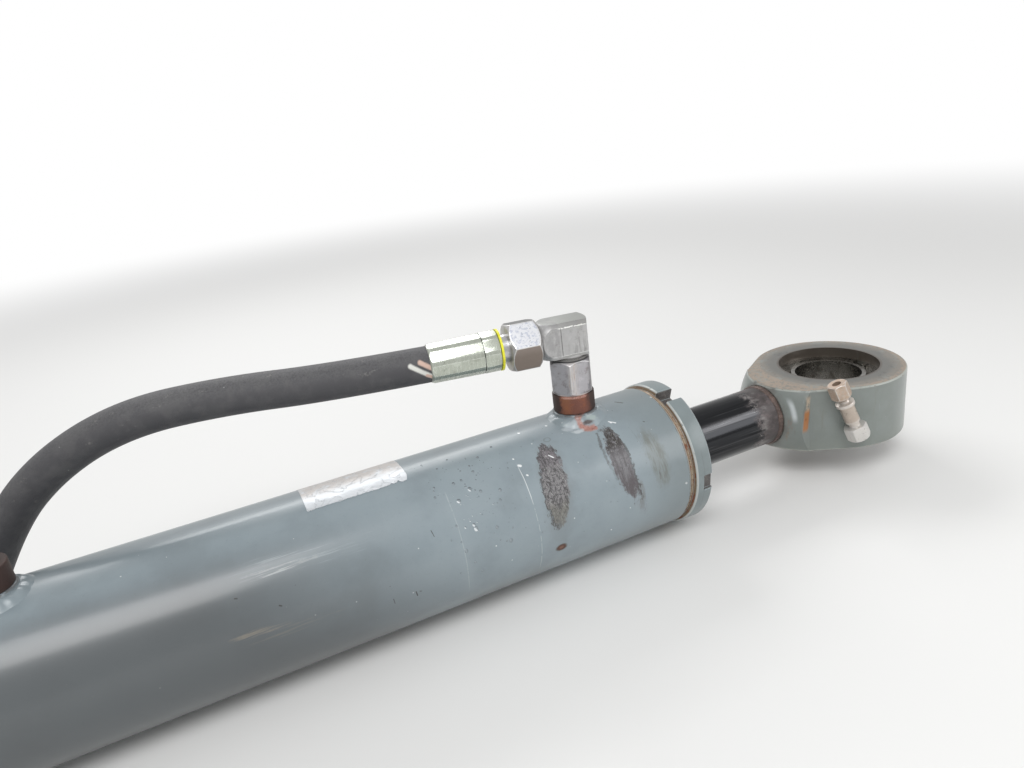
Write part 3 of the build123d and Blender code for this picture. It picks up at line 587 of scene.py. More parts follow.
def barrel_material():
    """Barrel paint with the marks seen in the photo."""
    look = painted("barrel_paint_worn", PAINT, 0.0)
    _, angle, _ = look.around()
    ring_lines = look.noise(1.3, 3.0, 0.7, (1, 0.03, 0.03), 2.0)
    look.coat(ring_lines.step(0.6, 0.85) * 0.1, PAINT_PALE)
    # Painted shade: darker over the top and down the far side
    look.coat(angle.step(30.0, 0.0) * 0.3, PAINT_DARK)
    marks = (underside_dirt_and_shade, axial_streaks, scuff_one, scuff_two, scuff_three, scratches, mound_marks)
    for add_marks in marks:
        add_marks(look)
    # Darker towards the gland, its rim rubbed bright on the chamfer, with a painted shadow line just before
    # the rim
    near_gland = look.x.step(466.0, 508.0)
    look.coat(near_gland * 0.42, (0.135, 0.155, 0.15), 0.4)
    rim = look.x.step(BARREL_END_X - 1.4, BARREL_END_X - 1.0)
    look.coat(rim * look.noise(3.0, 4.0, shift=6.0).step(0.26, 0.42) * 0.85, (0.6, 0.6, 0.56), 0.32, 0.3)
    # Painted shadow line just before the rim
    dark = look.x.band(BARREL_END_X - 2.1, BARREL_END_X - 1.5, 0.25)
    look.coat(dark * look.noise(5.0, 4.0, shift=16.0).step(0.4, 0.54) * 0.6, (0.1, 0.09, 0.075), 0.6)
    return look.done(coat_weight=0.30, coat_roughness=0.16)


def gland_material():
    """Gland: paint on the flange, bare and rusty metal in the gap behind it, grease and painted shade in the
    notches.
    """
    look = painted("gland_paint_worn", (0.185, 0.220, 0.226), 21.0)
    radius, angle, _ = look.around()
    flecks = look.noise(4.0, 5.0, 0.7, (1, 0.6, 0.6), 3.0)
    fine = look.noise(1.2, 4.0, 0.7, shift=5.0)
    groove = look.x.step(FLANGE_X + 0.3, FLANGE_X + 0.05) * radius.step(FLANGE_R - 0.6, FLANGE_R - 1.1)
    look.coat(groove, (0.27, 0.205, 0.140), 0.42, 0.45)
    middle = look.x.band(BARREL_END_X + 1.1, BARREL_END_X + 2.0, 0.2)
    look.coat(groove * middle * 0.6, (0.46, 0.4, 0.31), 0.35, 0.5)
    low = (angle + (flecks - 0.5) * 60.0).step(48.0, 66.0)
    look.coat(groove * flecks.step(0.46, 0.56) * (low | 0.35), (0.2, 0.08, 0.042), 0.85, 0.0)
    look.coat(groove * fine.step(0.55, 0.66), (0.1, 0.055, 0.036), 0.8, 0.0)
    look.relief(groove * fine, 0.12)
    # Back edge of the flange rubbed pale, with a dark line behind it
    edge = radius.step(FLANGE_R - 1.3, FLANGE_R - 0.7) * look.x.step(FLANGE_X + 1.4, FLANGE_X + 0.9)
    look.coat(edge * flecks.step(0.3, 0.44) * 0.85, (0.5, 0.51, 0.48), 0.35, 0.2)
    # Notches: rough and reddish-grey inside, darkened by grease and by painted shade
    notch = radius.step(FLANGE_R - 0.6, FLANGE_R - 1.3) * look.x.step(FLANGE_X + 0.2, FLANGE_X + 0.5)
    inside = notch * look.x.step(GLAND_X - 0.02, GLAND_X - 0.15)
    look.coat(inside * 0.92, (0.06, 0.05, 0.047), 0.5)
    look.coat(inside * flecks.step(0.5, 0.6) * 0.6, (0.125, 0.115, 0.108), 0.6)
    look.coat(inside * fine.step(0.58, 0.68) * 0.6, (0.27, 0.24, 0.22), 0.5)
    look.relief(inside * look.noise(1.6, 5.0, 0.7), 0.6)
    # End face greasy towards the wiper; corners and notch edges rubbed
    face = look.x.step(GLAND_X - 0.3, GLAND_X - 0.1)
    ring = face * (radius + flecks * 9.0).step(46.0, 34.0)
    look.coat(ring * 0.85, GREASE, 0.4)
    look.coat(look.worn() * flecks.step(0.38, 0.52) * 0.65, PAINT_PALE, 0.4)
    line = abs(look.x - (522.5 + (fine - 0.5) * 2.0)).step(0.5, 0.2)
    look.coat(line * angle.band(70.0, 130.0, 8.0) * 0.25, PAINT_DARK)
    look.coat(look.dots(1.6, 0.14, 9.0, 4.0) * 0.7, WHITE, 0.5)
    return look.done(coat_weight=0.25, coat_roughness=0.18)


def eye_material(name, centre_x, side, seed):
    """Eye paint: greasy brown flat faces, clean sides, dark grease where the neck starts."""
    look = painted(name, EYE_PAINT, seed)
    tall = abs(look.z)
    flat = tall.step(EYE_HALF - 0.35, EYE_HALF - 0.1)
    lumps = look.noise(14.0, 6.0, 0.68, shift=seed + 1)
    fine = look.noise(2.6, 5.0, 0.7, shift=seed + 7)
    reach = look.long(look.x - centre_x, look.y)
    look.coat(flat * lumps.step(0.36, 0.52) * 0.85, (0.125, 0.094, 0.07), 0.45)
    look.coat(flat * fine.step(0.55, 0.66) * 0.6, (0.06, 0.045, 0.036), 0.5)
    near = flat * (reach + lumps * 14.0).step(58.0, 50.0)
    look.coat(near * 0.9, GREASE, 0.32)
    tan = flat * reach.step(EYE_R - 5.5, EYE_R - 3.0) * fine.step(0.42, 0.52)
    look.coat(tan * 0.75, (0.3, 0.215, 0.15), 0.55)
    rub = tall.band(EYE_HALF - 1.4, EYE_HALF - 0.1, 0.3) * lumps.step(0.34, 0.46)
    look.coat(rub * 0.6, (0.44, 0.46, 0.42), 0.35)
    chips = tall.band(EYE_HALF - 2.0, EYE_HALF - 0.1, 0.3) * fine.step(0.6, 0.66)
    look.coat(chips * 0.7, (0.16, 0.1, 0.07), 0.6)
    look.coat(reach.step(EYE_BORE_R + 2.1, EYE_BORE_R + 1.1), (0.1, 0.085, 0.07), 0.35, 0.5)
    # Sides: a faint darker and greener lower part as painted shade, with fine vertical runs
    wall = 1.0 - flat
    runs = look.noise(3.0, 4.0, 0.7, (1, 1, 0.08), seed + 4)
    low = wall * (look.z + lumps * 16.0).step(-2.0, -20.0)
    look.coat(low * 0.28, (0.15, 0.16, 0.132), 0.42)
    look.coat(wall * runs.step(0.6, 0.74) * 0.28, (0.15, 0.13, 0.095), 0.5)
    look.coat(wall * runs.step(0.36, 0.24) * 0.22, PAINT_PALE, 0.4)
    root = (look.x - (centre_x - side * 70.0)) * side
    grimy = (root + (lumps - 0.5) * 12.0).step(4.0, -2.5) * 0.72
    look.coat(grimy, (0.075, 0.060, 0.050), 0.48)
    return look


def rod_eye_material():
    """The rod eye's paint with its rust run, the stains on its flare and a painted highlight there."""
    look = eye_material("eye_paint_rod", ROD_EYE_X, 1.0, 31.0)
    front = look.y.step(-14.0, -20.0)
    grain = look.noise(1.8, 5.0, 0.72, (1, 1, 0.4), 2.0)
    line = look.x - (RUST_RUN_X + look.z * 0.1)
    beige = front * line.band(-1.7, 1.8, 0.9) * look.z.band(4.0, 20.0, 2.5) * grain.step(0.34, 0.48)
    look.coat(beige * 0.85, (0.5, 0.4, 0.3), 0.6)
    rust = front * line.band(-2.6, 2.4, 1.0) * look.z.band(-6.5, 9.5, 2.5) * grain.step(0.26, 0.4)
    look.coat(rust * 0.95, (0.38, 0.15, 0.045), 0.75)
    look.coat(rust * grain.step(0.55, 0.66) * 0.7, (0.17, 0.065, 0.03), 0.8)
    stain = front * look.x.band(622.5, 624.4, 0.7) * look.z.band(-14.0, 6.0, 4.0) * grain.step(0.48, 0.6)
    look.coat(stain * 0.6, (0.22, 0.14, 0.1), 0.6)
    # Painted highlight on the flare
    painted_flare_highlight = front * look.x.band(624.5, 626.6, 0.9) * look.z.band(3.0, 17.0, 3.5)
    look.coat(painted_flare_highlight * 0.6, (0.66, 0.7, 0.72), 0.3)
    return look.done(coat_weight=0.35, coat_roughness=0.16)


def chrome_material():
    """Hard chrome under an oily film: near-black as a painted reflection of dark surroundings, with thin pale
    streaks as painted highlights, greasy before the eye.
    """
    look = Finish("chrome_oily_painted_reflection", (0.036, 0.037, 0.040), 0.14, 1.0)
    fine = look.noise(1.1, 4.0, 0.65, (0.012, 1, 1), 1.0)
    wide = look.noise(8.0, 3.0, 0.6, (0.02, 1, 1), 2.0)
    # Painted reflection along the rod: broad grey and thin pale highlight streaks, and darker streaks
    look.coat(wide.step(0.54, 0.66) * 0.6, (0.115, 0.115, 0.12), 0.2)
    look.coat(fine.step(0.58, 0.7) * wide.step(0.4, 0.6) * 0.6, (0.4, 0.4, 0.41), 0.2)
    look.coat(fine.step(0.44, 0.32) * 0.6, (0.012, 0.012, 0.013), 0.1)
    lumps = look.noise(5.0, 6.0, 0.7, (0.7, 1, 1), 3.0)
    edge = look.x + (lumps - 0.5) * 30.0
    band = edge.step(NECK_X - 26.0, NECK_X - 13.0)
    look.coat(band * 0.88, (0.066, 0.054, 0.054), 0.42, 0.1)
    look.coat(band * lumps.step(0.46, 0.7) * 0.6, (0.15, 0.122, 0.12), 0.5, 0.0)
    look.coat(band * lumps.step(0.46, 0.35), GREASE, 0.3, 0.0)
    wash = look.noise(6.0, 4.0, 0.7, (0.5, 1, 1), 8.0)
    pale = edge.band(NECK_X - 21.0, NECK_X - 14.0, 4.0) * wash.step(0.44, 0.66)
    look.coat(pale * 0.45, (0.36, 0.34, 0.33), 0.5, 0.0)
    look.relief(band * lumps, 0.18)
    near_gland = look.x.band(GLAND_X - 4.0, GLAND_X + 3.5, 1.5) * fine.step(0.3, 0.5)
    look.coat(near_gland, GREASE, 0.3, 0.0)
    look.relief(fine, 0.008)
    return look.done()


def zinc_material(name, colour, seed, brown=0.5, blotch=0.6, rough=0.40, metal=0.75):
    """Weathered zinc plating: mottled, with a patchy brown film."""
    look = Finish(name, colour, rough, metal)
    lumps = look.noise(7.0, 5.0, 0.65, shift=seed)
    fine = look.noise(1.1, 5.0, 0.7, shift=seed + 1)
    pale = tuple(min(1.0, 1.30 * value) for value in colour)
    dull = tuple(0.66 * value for value in colour)
    look.coat(lumps.step(0.52, 0.68) * 0.6, pale, rough - 0.06)
    look.coat(lumps.step(0.46, 0.32) * 0.6, dull, rough + 0.12)
    look.coat(fine.step(0.56, 0.72) * blotch, (0.2, 0.205, 0.23), rough + 0.15)
    look.coat(lumps.step(0.5, 0.36) * fine.step(0.42, 0.6) * brown, (0.17, 0.12, 0.09), 0.62, 0.2)
    look.relief(fine, 0.03)
    look.relief(look.noise(0.3, 2.0, shift=seed + 2), 0.008)
    return look


def bright_edges(look, strength=0.8):
    """Rounded edges rubbed to bright metal, here and there still dark."""
    kept = look.noise(3.5, 4.0, 0.7, shift=40.0).step(0.3, 0.44)
    look.coat(look.worn() * kept * strength, BRIGHT, 0.26, 0.8)
    return look


def elbow_material():
    """Forged elbow: grey front with upright grind marks, bright flash line and edges; painted shade on its
    greenish top, upper chamfer, neck and outer end, a painted shadow line and highlight at its step, painted
    highlights on its lower chamfer.
    """
    look = zinc_material("zinc_forged", (0.455, 0.452, 0.450), 5.0, 0.18, 0.30, 0.42, 0.6)
    out = look.along(PORT_AXIS, HOSE_WAY)
    near = look.along(PORT_AXIS, HOSE_SIDE)
    tall = look.z - ELBOW_Z
    front = near.step(ELBOW_HALF - 0.5, ELBOW_HALF - 0.2)
    # Painted shade by facing: a darker, greenish top and a darker upper chamfer
    top = look.facing(UP)
    shaded_slope = look.facing(UP + HOSE_SIDE)
    look.coat(top * 0.8, (0.325, 0.335, 0.315), 0.5)
    look.coat(shaded_slope * 0.75, (0.245, 0.245, 0.235), 0.5)
    grind = look.noise(1.0, 3.0, 0.7, (1, 1, 0.06), 3.0)
    worked = front * out.step(6.0, -1.0) * (tall + out * 0.4).step(3.0, -4.0)
    look.coat(worked * grind.step(0.46, 0.6) * 0.68, (0.21, 0.205, 0.2), 0.5)
    look.coat(worked * grind.step(0.6, 0.72) * 0.6, BRIGHT, 0.35)
    look.relief(worked * grind, 0.12)
    flash_height = ELBOW_EDGE + (look.noise(2.2, 3.0, 0.7, shift=12.0) - 0.5) * 1.4
    flash = (
        abs(tall - flash_height).step(0.55, 0.2) * near.step(ELBOW_HALF - 3.2, ELBOW_HALF - 2.6)
        * out.band(-9.0, 9.6, 1.0) * look.noise(2.6, 3.0, 0.7, shift=14.0).step(0.34, 0.42))
    look.coat(flash, (0.90, 0.90, 0.87), 0.3, 0.4)
    look.relief(flash, 0.30)
    # Painted shadow line at the step, and a painted highlight on the step's edge next to it
    step_shadow_line = out.band(ELBOW_STEP - 0.35, ELBOW_STEP + 0.35, 0.2) * front
    look.coat(step_shadow_line * 0.6, (0.085, 0.083, 0.08), 0.6)
    beside = out.band(ELBOW_STEP + 0.4, ELBOW_STEP + 0.9, 0.2) * front
    look.coat(beside * 0.6, BRIGHT, 0.35, 0.5)
    second = out.band(10.5, 10.9, 0.25) * front * look.noise(3.0, 3.0, 0.6, shift=18.0).step(0.32, 0.44)
    look.coat(second * 0.5, (0.12, 0.118, 0.115), 0.6)
    # Painted highlight along the lower chamfer's edge
    lower_edge_highlight = abs(tall + ELBOW_EDGE).step(0.5, 0.2) * near.step(ELBOW_HALF - 0.8, ELBOW_HALF - 0.4)
    look.coat(lower_edge_highlight * grind.step(0.3, 0.45) * 0.7, BRIGHT, 0.3, 0.5)
    # Painted shade on the outer end past the step
    shade_past_step = out.step(8.6, 9.4) * look.noise(4.0, 4.0, 0.7, (1, 1, 0.5), 22.0).step(0.36, 0.6)
    look.coat(shade_past_step * 0.45, (0.25, 0.245, 0.25), 0.5)
    heel = look.facing(-HOSE_WAY, 0.6, 0.9)
    look.coat(heel * 0.6, (0.33, 0.31, 0.345), 0.45)
    # Painted shade on the neck under the block
    neck = tall.step(-ELBOW_HALF + 0.4, -ELBOW_HALF - 0.4)
    look.coat(neck * 0.75, (0.1, 0.095, 0.09), 0.5)
    # Painted highlight on the lower chamfer, where it faces down and out
    painted_highlight_below = look.facing(HOSE_SIDE - UP)
    look.coat(painted_highlight_below * 0.8, (0.74, 0.74, 0.72), 0.35, 0.25)
    look.relief(look.noise(1.4, 4.0, 0.6, shift=8.0), 0.07)
    return bright_edges(look, 0.75).done()


def port_nut_material():
    """Upright swivel nut: violet-grey with brownish runs at its middle; its pale runs there and its lower rim
    are painted highlights, its right side and the part under the elbow painted shade.
    """
    look = zinc_material("zinc_port_nut", (0.415, 0.405, 0.425), 9.0, 0.35, 0.35, 0.42, 0.65)
    sideways = look.sideways()
    runs = look.noise(1.7, 4.0, 0.72, (1, 1, 0.14), 4.0)
    wide = look.noise(3.4, 4.0, 0.7, (1, 1, 0.22), 7.0)
    # Down its middle: pale runs as a painted highlight, with rust-brown runs
    middle = (sideways + (wide - 0.5) * 5.0).band(-2.6, 3.4, 1.4)
    look.coat(middle * runs.step(0.36, 0.52) * 0.65, (0.6, 0.565, 0.545), 0.36)
    look.coat(middle * runs.step(0.56, 0.66) * 0.7, (0.34, 0.225, 0.165), 0.5, 0.3)
    # Painted shade towards its right side as the camera sees it
    look.coat(wide.step(0.54, 0.66) * sideways.step(2.0, 6.0) * 0.65, (0.13, 0.125, 0.14), 0.5)
    look.coat(sideways.step(9.5, 12.5) * 0.6, (0.085, 0.075, 0.07), 0.55)
    foot = (look.z + (runs - 0.5) * 5.0).step(COLLAR_TOP + 3.2, COLLAR_TOP + 0.7)
    look.coat(foot * (sideways.step(4.0, 9.0) | sideways.step(-8.0, -12.0)) * 0.75, (0.07, 0.045, 0.035),
              0.65, 0.1)
    # Painted highlight on the middle of its lower rim
    rim = look.z.band(COLLAR_TOP, COLLAR_TOP + 0.9, 0.25) * abs(sideways).step(10.5, 8.0)
    look.coat(rim * 0.75, (0.62, 0.56, 0.53), 0.4, 0.4)
    # Painted shade under the elbow
    look.coat(look.z.step(PORT_NUT_TOP - 1.6, PORT_NUT_TOP - 0.3) * 0.55, (0.16, 0.155, 0.16), 0.5)
    return bright_edges(look, 0.45).done()


def hose_facet(degrees):
    """Direction out of the hose, turned from straight up towards the camera."""
    turn = math.radians(degrees)
    return UP * math.cos(turn) + HOSE_SIDE * math.sin(turn)


def hose_nut_material(name, seed, facet_light_painted):
    """Swivel nut on the hose; with its facet light painted, one facet is a bright, speckled blue-grey painted
    highlight, the top facet painted shade and the facets below a brownish grey painted shade.
    """
    look = zinc_material(name, (0.46, 0.455, 0.45), seed, 0.35, 0.45, 0.38, 0.75)
    if facet_light_painted:
        # Painted light by facet: shade on top, a highlight on the upper front facet, brownish shade below
        for degrees, colour, strength in (
            (-10, (0.10, 0.10, 0.10), 0.8),
            (50, (0.72, 0.73, 0.76), 0.9),
            (110, (0.29, 0.235, 0.20), 0.9),
        ):
            look.coat(look.facing(hose_facet(degrees), 0.93, 0.985) * strength, colour, 0.34)
        bright = look.facing(hose_facet(50), 0.95, 0.985)
        mottles = look.noise(2.1, 5.0, 0.72, shift=6.0).step(0.5, 0.58)
        look.coat(bright * mottles * 0.7, (0.38, 0.41, 0.5), 0.42)
        darks = look.noise(1.5, 4.0, 0.7, shift=9.0).step(0.6, 0.66)
        look.coat(bright * darks * 0.75, (0.15, 0.17, 0.21), 0.5)
        # Painted shade, brownish, over the lower half away from the bright facet
        low = look.along(PORT_AXIS, UP).step(2.0, -4.0)
        look.coat(low * (1.0 - bright) * 0.35, (0.16, 0.125, 0.1), 0.5)
    return bright_edges(look, 0.85).done()


def rust_material():
    """Brown rust: orange-brown at the left, reddish in the middle; black-brown towards the sides and at its
    foot as painted shade.
    """
    look = Finish("rust_collar", (0.150, 0.058, 0.040), 0.78)
    lumps = look.noise(6.0, 6.0, 0.7)
    fine = look.noise(0.9, 5.0, 0.75, shift=2.0)
    look.coat(lumps.step(0.5, 0.66) * 0.7, (0.225, 0.078, 0.04), 0.85)
    look.coat(lumps.step(0.46, 0.34) * 0.8, (0.12, 0.042, 0.028), 0.8)
    look.coat(fine.step(0.54, 0.7) * 0.7, (0.07, 0.028, 0.02), 0.9)
    look.coat(fine.step(0.4, 0.28) * 0.35, (0.4, 0.22, 0.15), 0.85)
    across = look.sideways() + (lumps - 0.5) * 9.0
    look.coat(across.band(-9.0, -3.0, 2.0) * 0.4, (0.27, 0.105, 0.04), 0.8)
    # Painted shade: black-brown towards both sides as the camera sees them
    dark = across.step(7.0, 10.5) | across.step(-8.0, -11.0)
    look.coat(dark * 0.88, (0.02, 0.012, 0.01), 0.65)
    rim = look.z.band(COLLAR_TOP - 1.4, COLLAR_TOP, 0.3)
    look.coat(rim * fine.step(0.36, 0.5) * abs(across).step(9.0, 7.0) * 0.7, (0.47, 0.27, 0.22), 0.6)
    # Painted shade at its foot on the boss
    foot = look.z.band(BOSS_TOP - 0.5, BOSS_TOP + 1.2, 0.4) * lumps.step(0.4, 0.55)
    look.coat(foot * 0.6, (0.045, 0.03, 0.026), 0.8)
    look.relief(fine, 0.10)
    look.relief(lumps, 0.15)
    return look.done()


def rubber_material():
    """Wrapped rubber cover: fine cloth imprint, dust on top, scuffed, with two worn slanted stripes."""
    look = Finish("hose_cover", (0.060, 0.059, 0.064), 0.56)
    lumps = look.noise(13.0, 5.0, 0.62, shift=2.0)
    fine = look.noise(1.2, 4.0, 0.7, shift=3.0)
    top = look.facing(UP, 0.1, 0.95)
    look.coat(lumps.step(0.42, 0.64) * 0.45, (0.105, 0.104, 0.106), 0.66)
    look.coat(top * fine.step(0.34, 0.62) * 0.45, (0.15, 0.15, 0.152), 0.72)
    smudge = look.noise(7.0, 4.0, 0.7, (0.4, 1, 1), 8.0).step(0.6, 0.7)
    look.coat(smudge * fine.step(0.44, 0.6) * 0.45, (0.24, 0.235, 0.22), 0.7)
    look.coat(look.dots(0.9, 0.2, 5.0, 2.0) * 0.6, (0.3, 0.3, 0.3), 0.7)
    out = look.along(Vector(HOSE_START) / MM, HOSE_WAY)
    tall = look.z - HOSE_START[2] / MM
    camera_side = look.facing(HOSE_SIDE, 0.1, 0.3)
    for start, end, width, colour in (
        ((12.2, 4.2), (-2.0, -6.4), 2.0, (0.74, 0.74, 0.69)),
        ((3.0, -3.6), (-2.0, -6.4), 1.5, (0.62, 0.42, 0.34)),
        ((6.0, 5.2), (-2.0, -0.6), 2.0, (0.64, 0.45, 0.37)),
    ):
        stripe = look.stroke(out, tall, start, end, width, 0.08, 2.0, 1.2)
        look.coat(stripe * camera_side * fine.step(0.22, 0.34) * 0.92, colour, 0.55)
    weave = look.cells(0.85, (1, 1.6, 1.6))
    look.relief(weave.step(0.0, 0.16), 0.05)
    look.relief(fine, 0.05)
    return look.done()


def plain_material(name, colour, rough, metal, seed, spot):
    """Worn surface: clouded, speckled with the colour spot and finely uneven."""
    look = Finish(name, colour, rough, metal)
    lumps = look.noise(8.0, 5.0, 0.65, shift=seed)
    fine = look.noise(1.0, 4.0, 0.7, shift=seed + 1)
    look.coat(lumps.step(0.46, 0.64) * 0.6, spot, rough + 0.12)
    look.coat(fine.step(0.55, 0.72) * 0.4, spot, rough + 0.18)
    look.relief(fine, 0.03)
    return look.done()


def ferrule_material(name, centre, way):
    """Greenish-silver crimped sleeve: bright ridges where the dies met, dark fine lines and a seam."""
    look = Finish(name, (0.50, 0.53, 0.46), 0.28, 0.85)
    along = look.along(centre, way)
    fine = look.noise(0.9, 5.0, 0.7, shift=4.0)
    lumps = look.noise(6.0, 4.0, 0.6, shift=5.0)
    look.coat(lumps.step(0.5, 0.66) * 0.6, (0.62, 0.66, 0.58), 0.25)
    look.coat(lumps.step(0.44, 0.32) * 0.5, (0.33, 0.345, 0.29), 0.38)
    look.coat(fine.step(0.58, 0.74) * 0.45, (0.21, 0.21, 0.17), 0.5)
    spots = look.dots(1.5, 0.10, 5.0, 8.0)
    look.coat(spots * 0.7, (0.07, 0.068, 0.055), 0.6)
    wave = look.math("SINE", along * (2 * math.pi / FERRULE_PITCH))
    look.coat(wave.step(0.45, 0.95) * 0.18, (0.7, 0.73, 0.65), 0.22)
    seam = along.band(10.5, 11.1, 0.25) * fine.step(0.3, 0.44)
    look.coat(seam * 0.85, (0.055, 0.055, 0.045), 0.6, 0.2)
    ends = along.step(0.9, 0.2) | along.step(FERRULE_LENGTH - 0.8, FERRULE_LENGTH - 0.1)
    look.coat(ends * 0.6, (0.1, 0.1, 0.08), 0.5)
    look.coat(look.worn() * fine.step(0.3, 0.5) * 0.6, (0.84, 0.87, 0.82), 0.22, 0.85)
    look.relief(fine, 0.03)
    return look.done()


def lube_material():
    """Lubrication fitting: tan film on the sleeves, white-lit collars, its lowest block silvery."""
    look = zinc_material("lube_zinc", (0.50, 0.425, 0.360), 17.0, 0.45, 0.20, 0.38, 0.55)
    along = look.along(LUBE_FOOT, LUBE_WAY)
    block = along.step(6.6, 5.4)
    grain = look.noise(1.6, 5.0, 0.7, shift=6.0)
    look.coat(block * 0.85, (0.66, 0.65, 0.63), 0.34, 0.6)
    look.coat(block * grain.step(0.56, 0.68) * 0.55, (0.27, 0.24, 0.2), 0.5)
    for low, high in ((5.6, 10.6), (23.4, 27.6)):
        look.coat(along.band(low, high, 0.6) * 0.55, (0.72, 0.69, 0.66), 0.32)
    look.coat(along.step(27.0, 30.0) * grain.step(0.4, 0.55) * 0.55, (0.48, 0.335, 0.24), 0.5)
    return bright_edges(look, 0.6).done()


def drop_material():
    """Rain drops on the paint: dark above as painted shade, bright below as painted light, where light
    gathers.
    """
    look = Finish("water_drops", (0.20, 0.235, 0.255), 0.04)
    turn = math.radians(38.0)
    uphill = Vector((0.0, math.cos(turn), math.sin(turn)))
    _, _, arc = look.around()
    chosen = look.x.band(352.5, 364.5, 0.5) * arc.band(34.0, 61.0, 1.0)
    look.coat(look.facing(uphill + Vector((0.25, 0, 0)), 0.02, 0.4) * 0.8, (0.08, 0.09, 0.096))
    lower = look.facing(Vector((-0.8, 0, 0)) - uphill * 0.8, 0.22, 0.50)
    look.coat(lower * 0.45, (0.34, 0.38, 0.4))
    look.coat(lower * chosen * 0.8, (0.8, 0.84, 0.86))
    return look.done(specular_ior_level=0.4)


def label_material():
    """Blank, weathered silver-white label: creased, stained brown towards the top."""
    look = Finish("label_blank", (0.56, 0.585, 0.61), 0.36, 0.25)
    _, _, arc = look.around()
    lumps = look.noise(9.0, 5.0, 0.65, shift=3.0)
    fine = look.noise(1.6, 5.0, 0.7, shift=5.0)
    crease = look.veins(9.0, 0.02, (1, 0.8, 0.8), 2.0)
    look.coat(lumps.step(0.5, 0.64) * 0.5, (0.7, 0.72, 0.75), 0.3)
    look.coat(arc.step(9.0, -4.0) * lumps.step(0.3, 0.55) * 0.65, (0.43, 0.375, 0.33), 0.45)
    look.coat(fine.step(0.58, 0.68) * arc.step(12.0, 2.0) * 0.5, (0.25, 0.2, 0.17), 0.6)
    look.coat(crease * 0.4, (0.34, 0.36, 0.38), 0.5)
    look.relief(look.noise(7.0, 3.0, 0.5, shift=9.0), 0.35)
    look.relief(crease, -0.12)
    return look.done()


def link(obj):
    bpy.context.scene.collection.objects.link(obj)
    return obj


def dress(obj, material, body, slot, *replaced):
    """Gives a new piece its material and body and hides the nodes that it stands for; the slot is not used.
    """
    obj.data.materials.clear()
    obj.data.materials.append(material)
    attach(obj, body)
    if replaced:
        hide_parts(*replaced)
    return obj


def shaded(name, built, mesh, sharp):
    """A smooth object of what was built, its edges sharp where they turn by more than sharp degrees."""
    built.to_mesh(mesh)
    built.free()
    mesh.polygons.foreach_set("use_smooth", [True] * len(mesh.polygons))
    mesh.set_sharp_from_angle(angle=math.radians(sharp))
    return link(bpy.data.objects.new(name, mesh))


def sheet(name, rows, wrap_rows=False, wrap_columns=True, caps=False, sharp=40.0):
    """Smooth mesh through rows of points, closed around either way, its ends capped or open."""
    mesh = bpy.data.meshes.new(name)
    built = bmesh.new()
    grid = [[built.verts.new(Vector(point) * MM) for point in row] for row in rows]
    count = len(rows[0])
    for upper, lower in zip(grid, grid[1:] + grid[:1] if wrap_rows else grid[1:]):
        for column in range(count if wrap_columns else count - 1):
            following = (column + 1) % count
            built.faces.new((upper[column], upper[following], lower[following], lower[column]))
    if caps:
        built.faces.new(list(reversed(grid[0])))
        built.faces.new(grid[-1])
    bmesh.ops.recalc_face_normals(built, faces=built.faces)
    return shaded(name, built, mesh, sharp)


def softened(node, name, width, body, slot, material, limit):
    """A copy of a CAD node, its edges over limit degrees rounded and marked as worn, which replaces it."""
    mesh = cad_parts[node].data.copy()
    mesh.name = name
    built = bmesh.new()
    built.from_mesh(mesh)
    bmesh.ops.remove_doubles(built, verts=built.verts, dist=0.01 * MM)
    bmesh.ops.dissolve_limit(
        built, angle_limit=math.radians(0.5), verts=built.verts, edges=built.edges, delimit=set())
    wear = built.faces.layers.float.new("wear")
    sharp = [edge for edge in built.edges if len(edge.link_faces) == 2
             and edge.calc_face_angle() > math.radians(limit)]
    result = bmesh.ops.bevel(built, geom=sharp, offset=width * MM, segments=2, profile=0.5,
                             affect="EDGES", clamp_overlap=True)
    for face in result["faces"]:
        face[wear] = 1.0
    return dress(shaded(name, built, mesh, limit + 6.0), material, body, slot, node)


def weld_ring(name, x, radius, half, rise, pitch, seed):
    """Weld bead around the cylinder with the ripples of its run."""
    rows = []
    turns = 240
    section = 12
    for index in range(turns):
        angle = 2 * math.pi * index / turns
        phase = angle * radius / pitch
        wobble = noise.noise(Vector((3 * math.cos(angle), 3 * math.sin(angle), seed)))
        row = []
        for step in range(section + 1):
            across = -1 + 2 * step / section
            ripple = 0.13 * math.cos(2 * math.pi * (phase + 0.32 * across * across))
            height = rise * math.sqrt(max(0.0, 1 - across * across)) * (0.86 + 0.10 * wobble + ripple)
            out = radius - WELD_SUNK + height
            place = x + across * half * (0.90 + 0.08 * wobble)
            row.append((place, -out * math.sin(angle), out * math.cos(angle)))
        rows.append(row)
    return sheet(name, rows, wrap_rows=True)


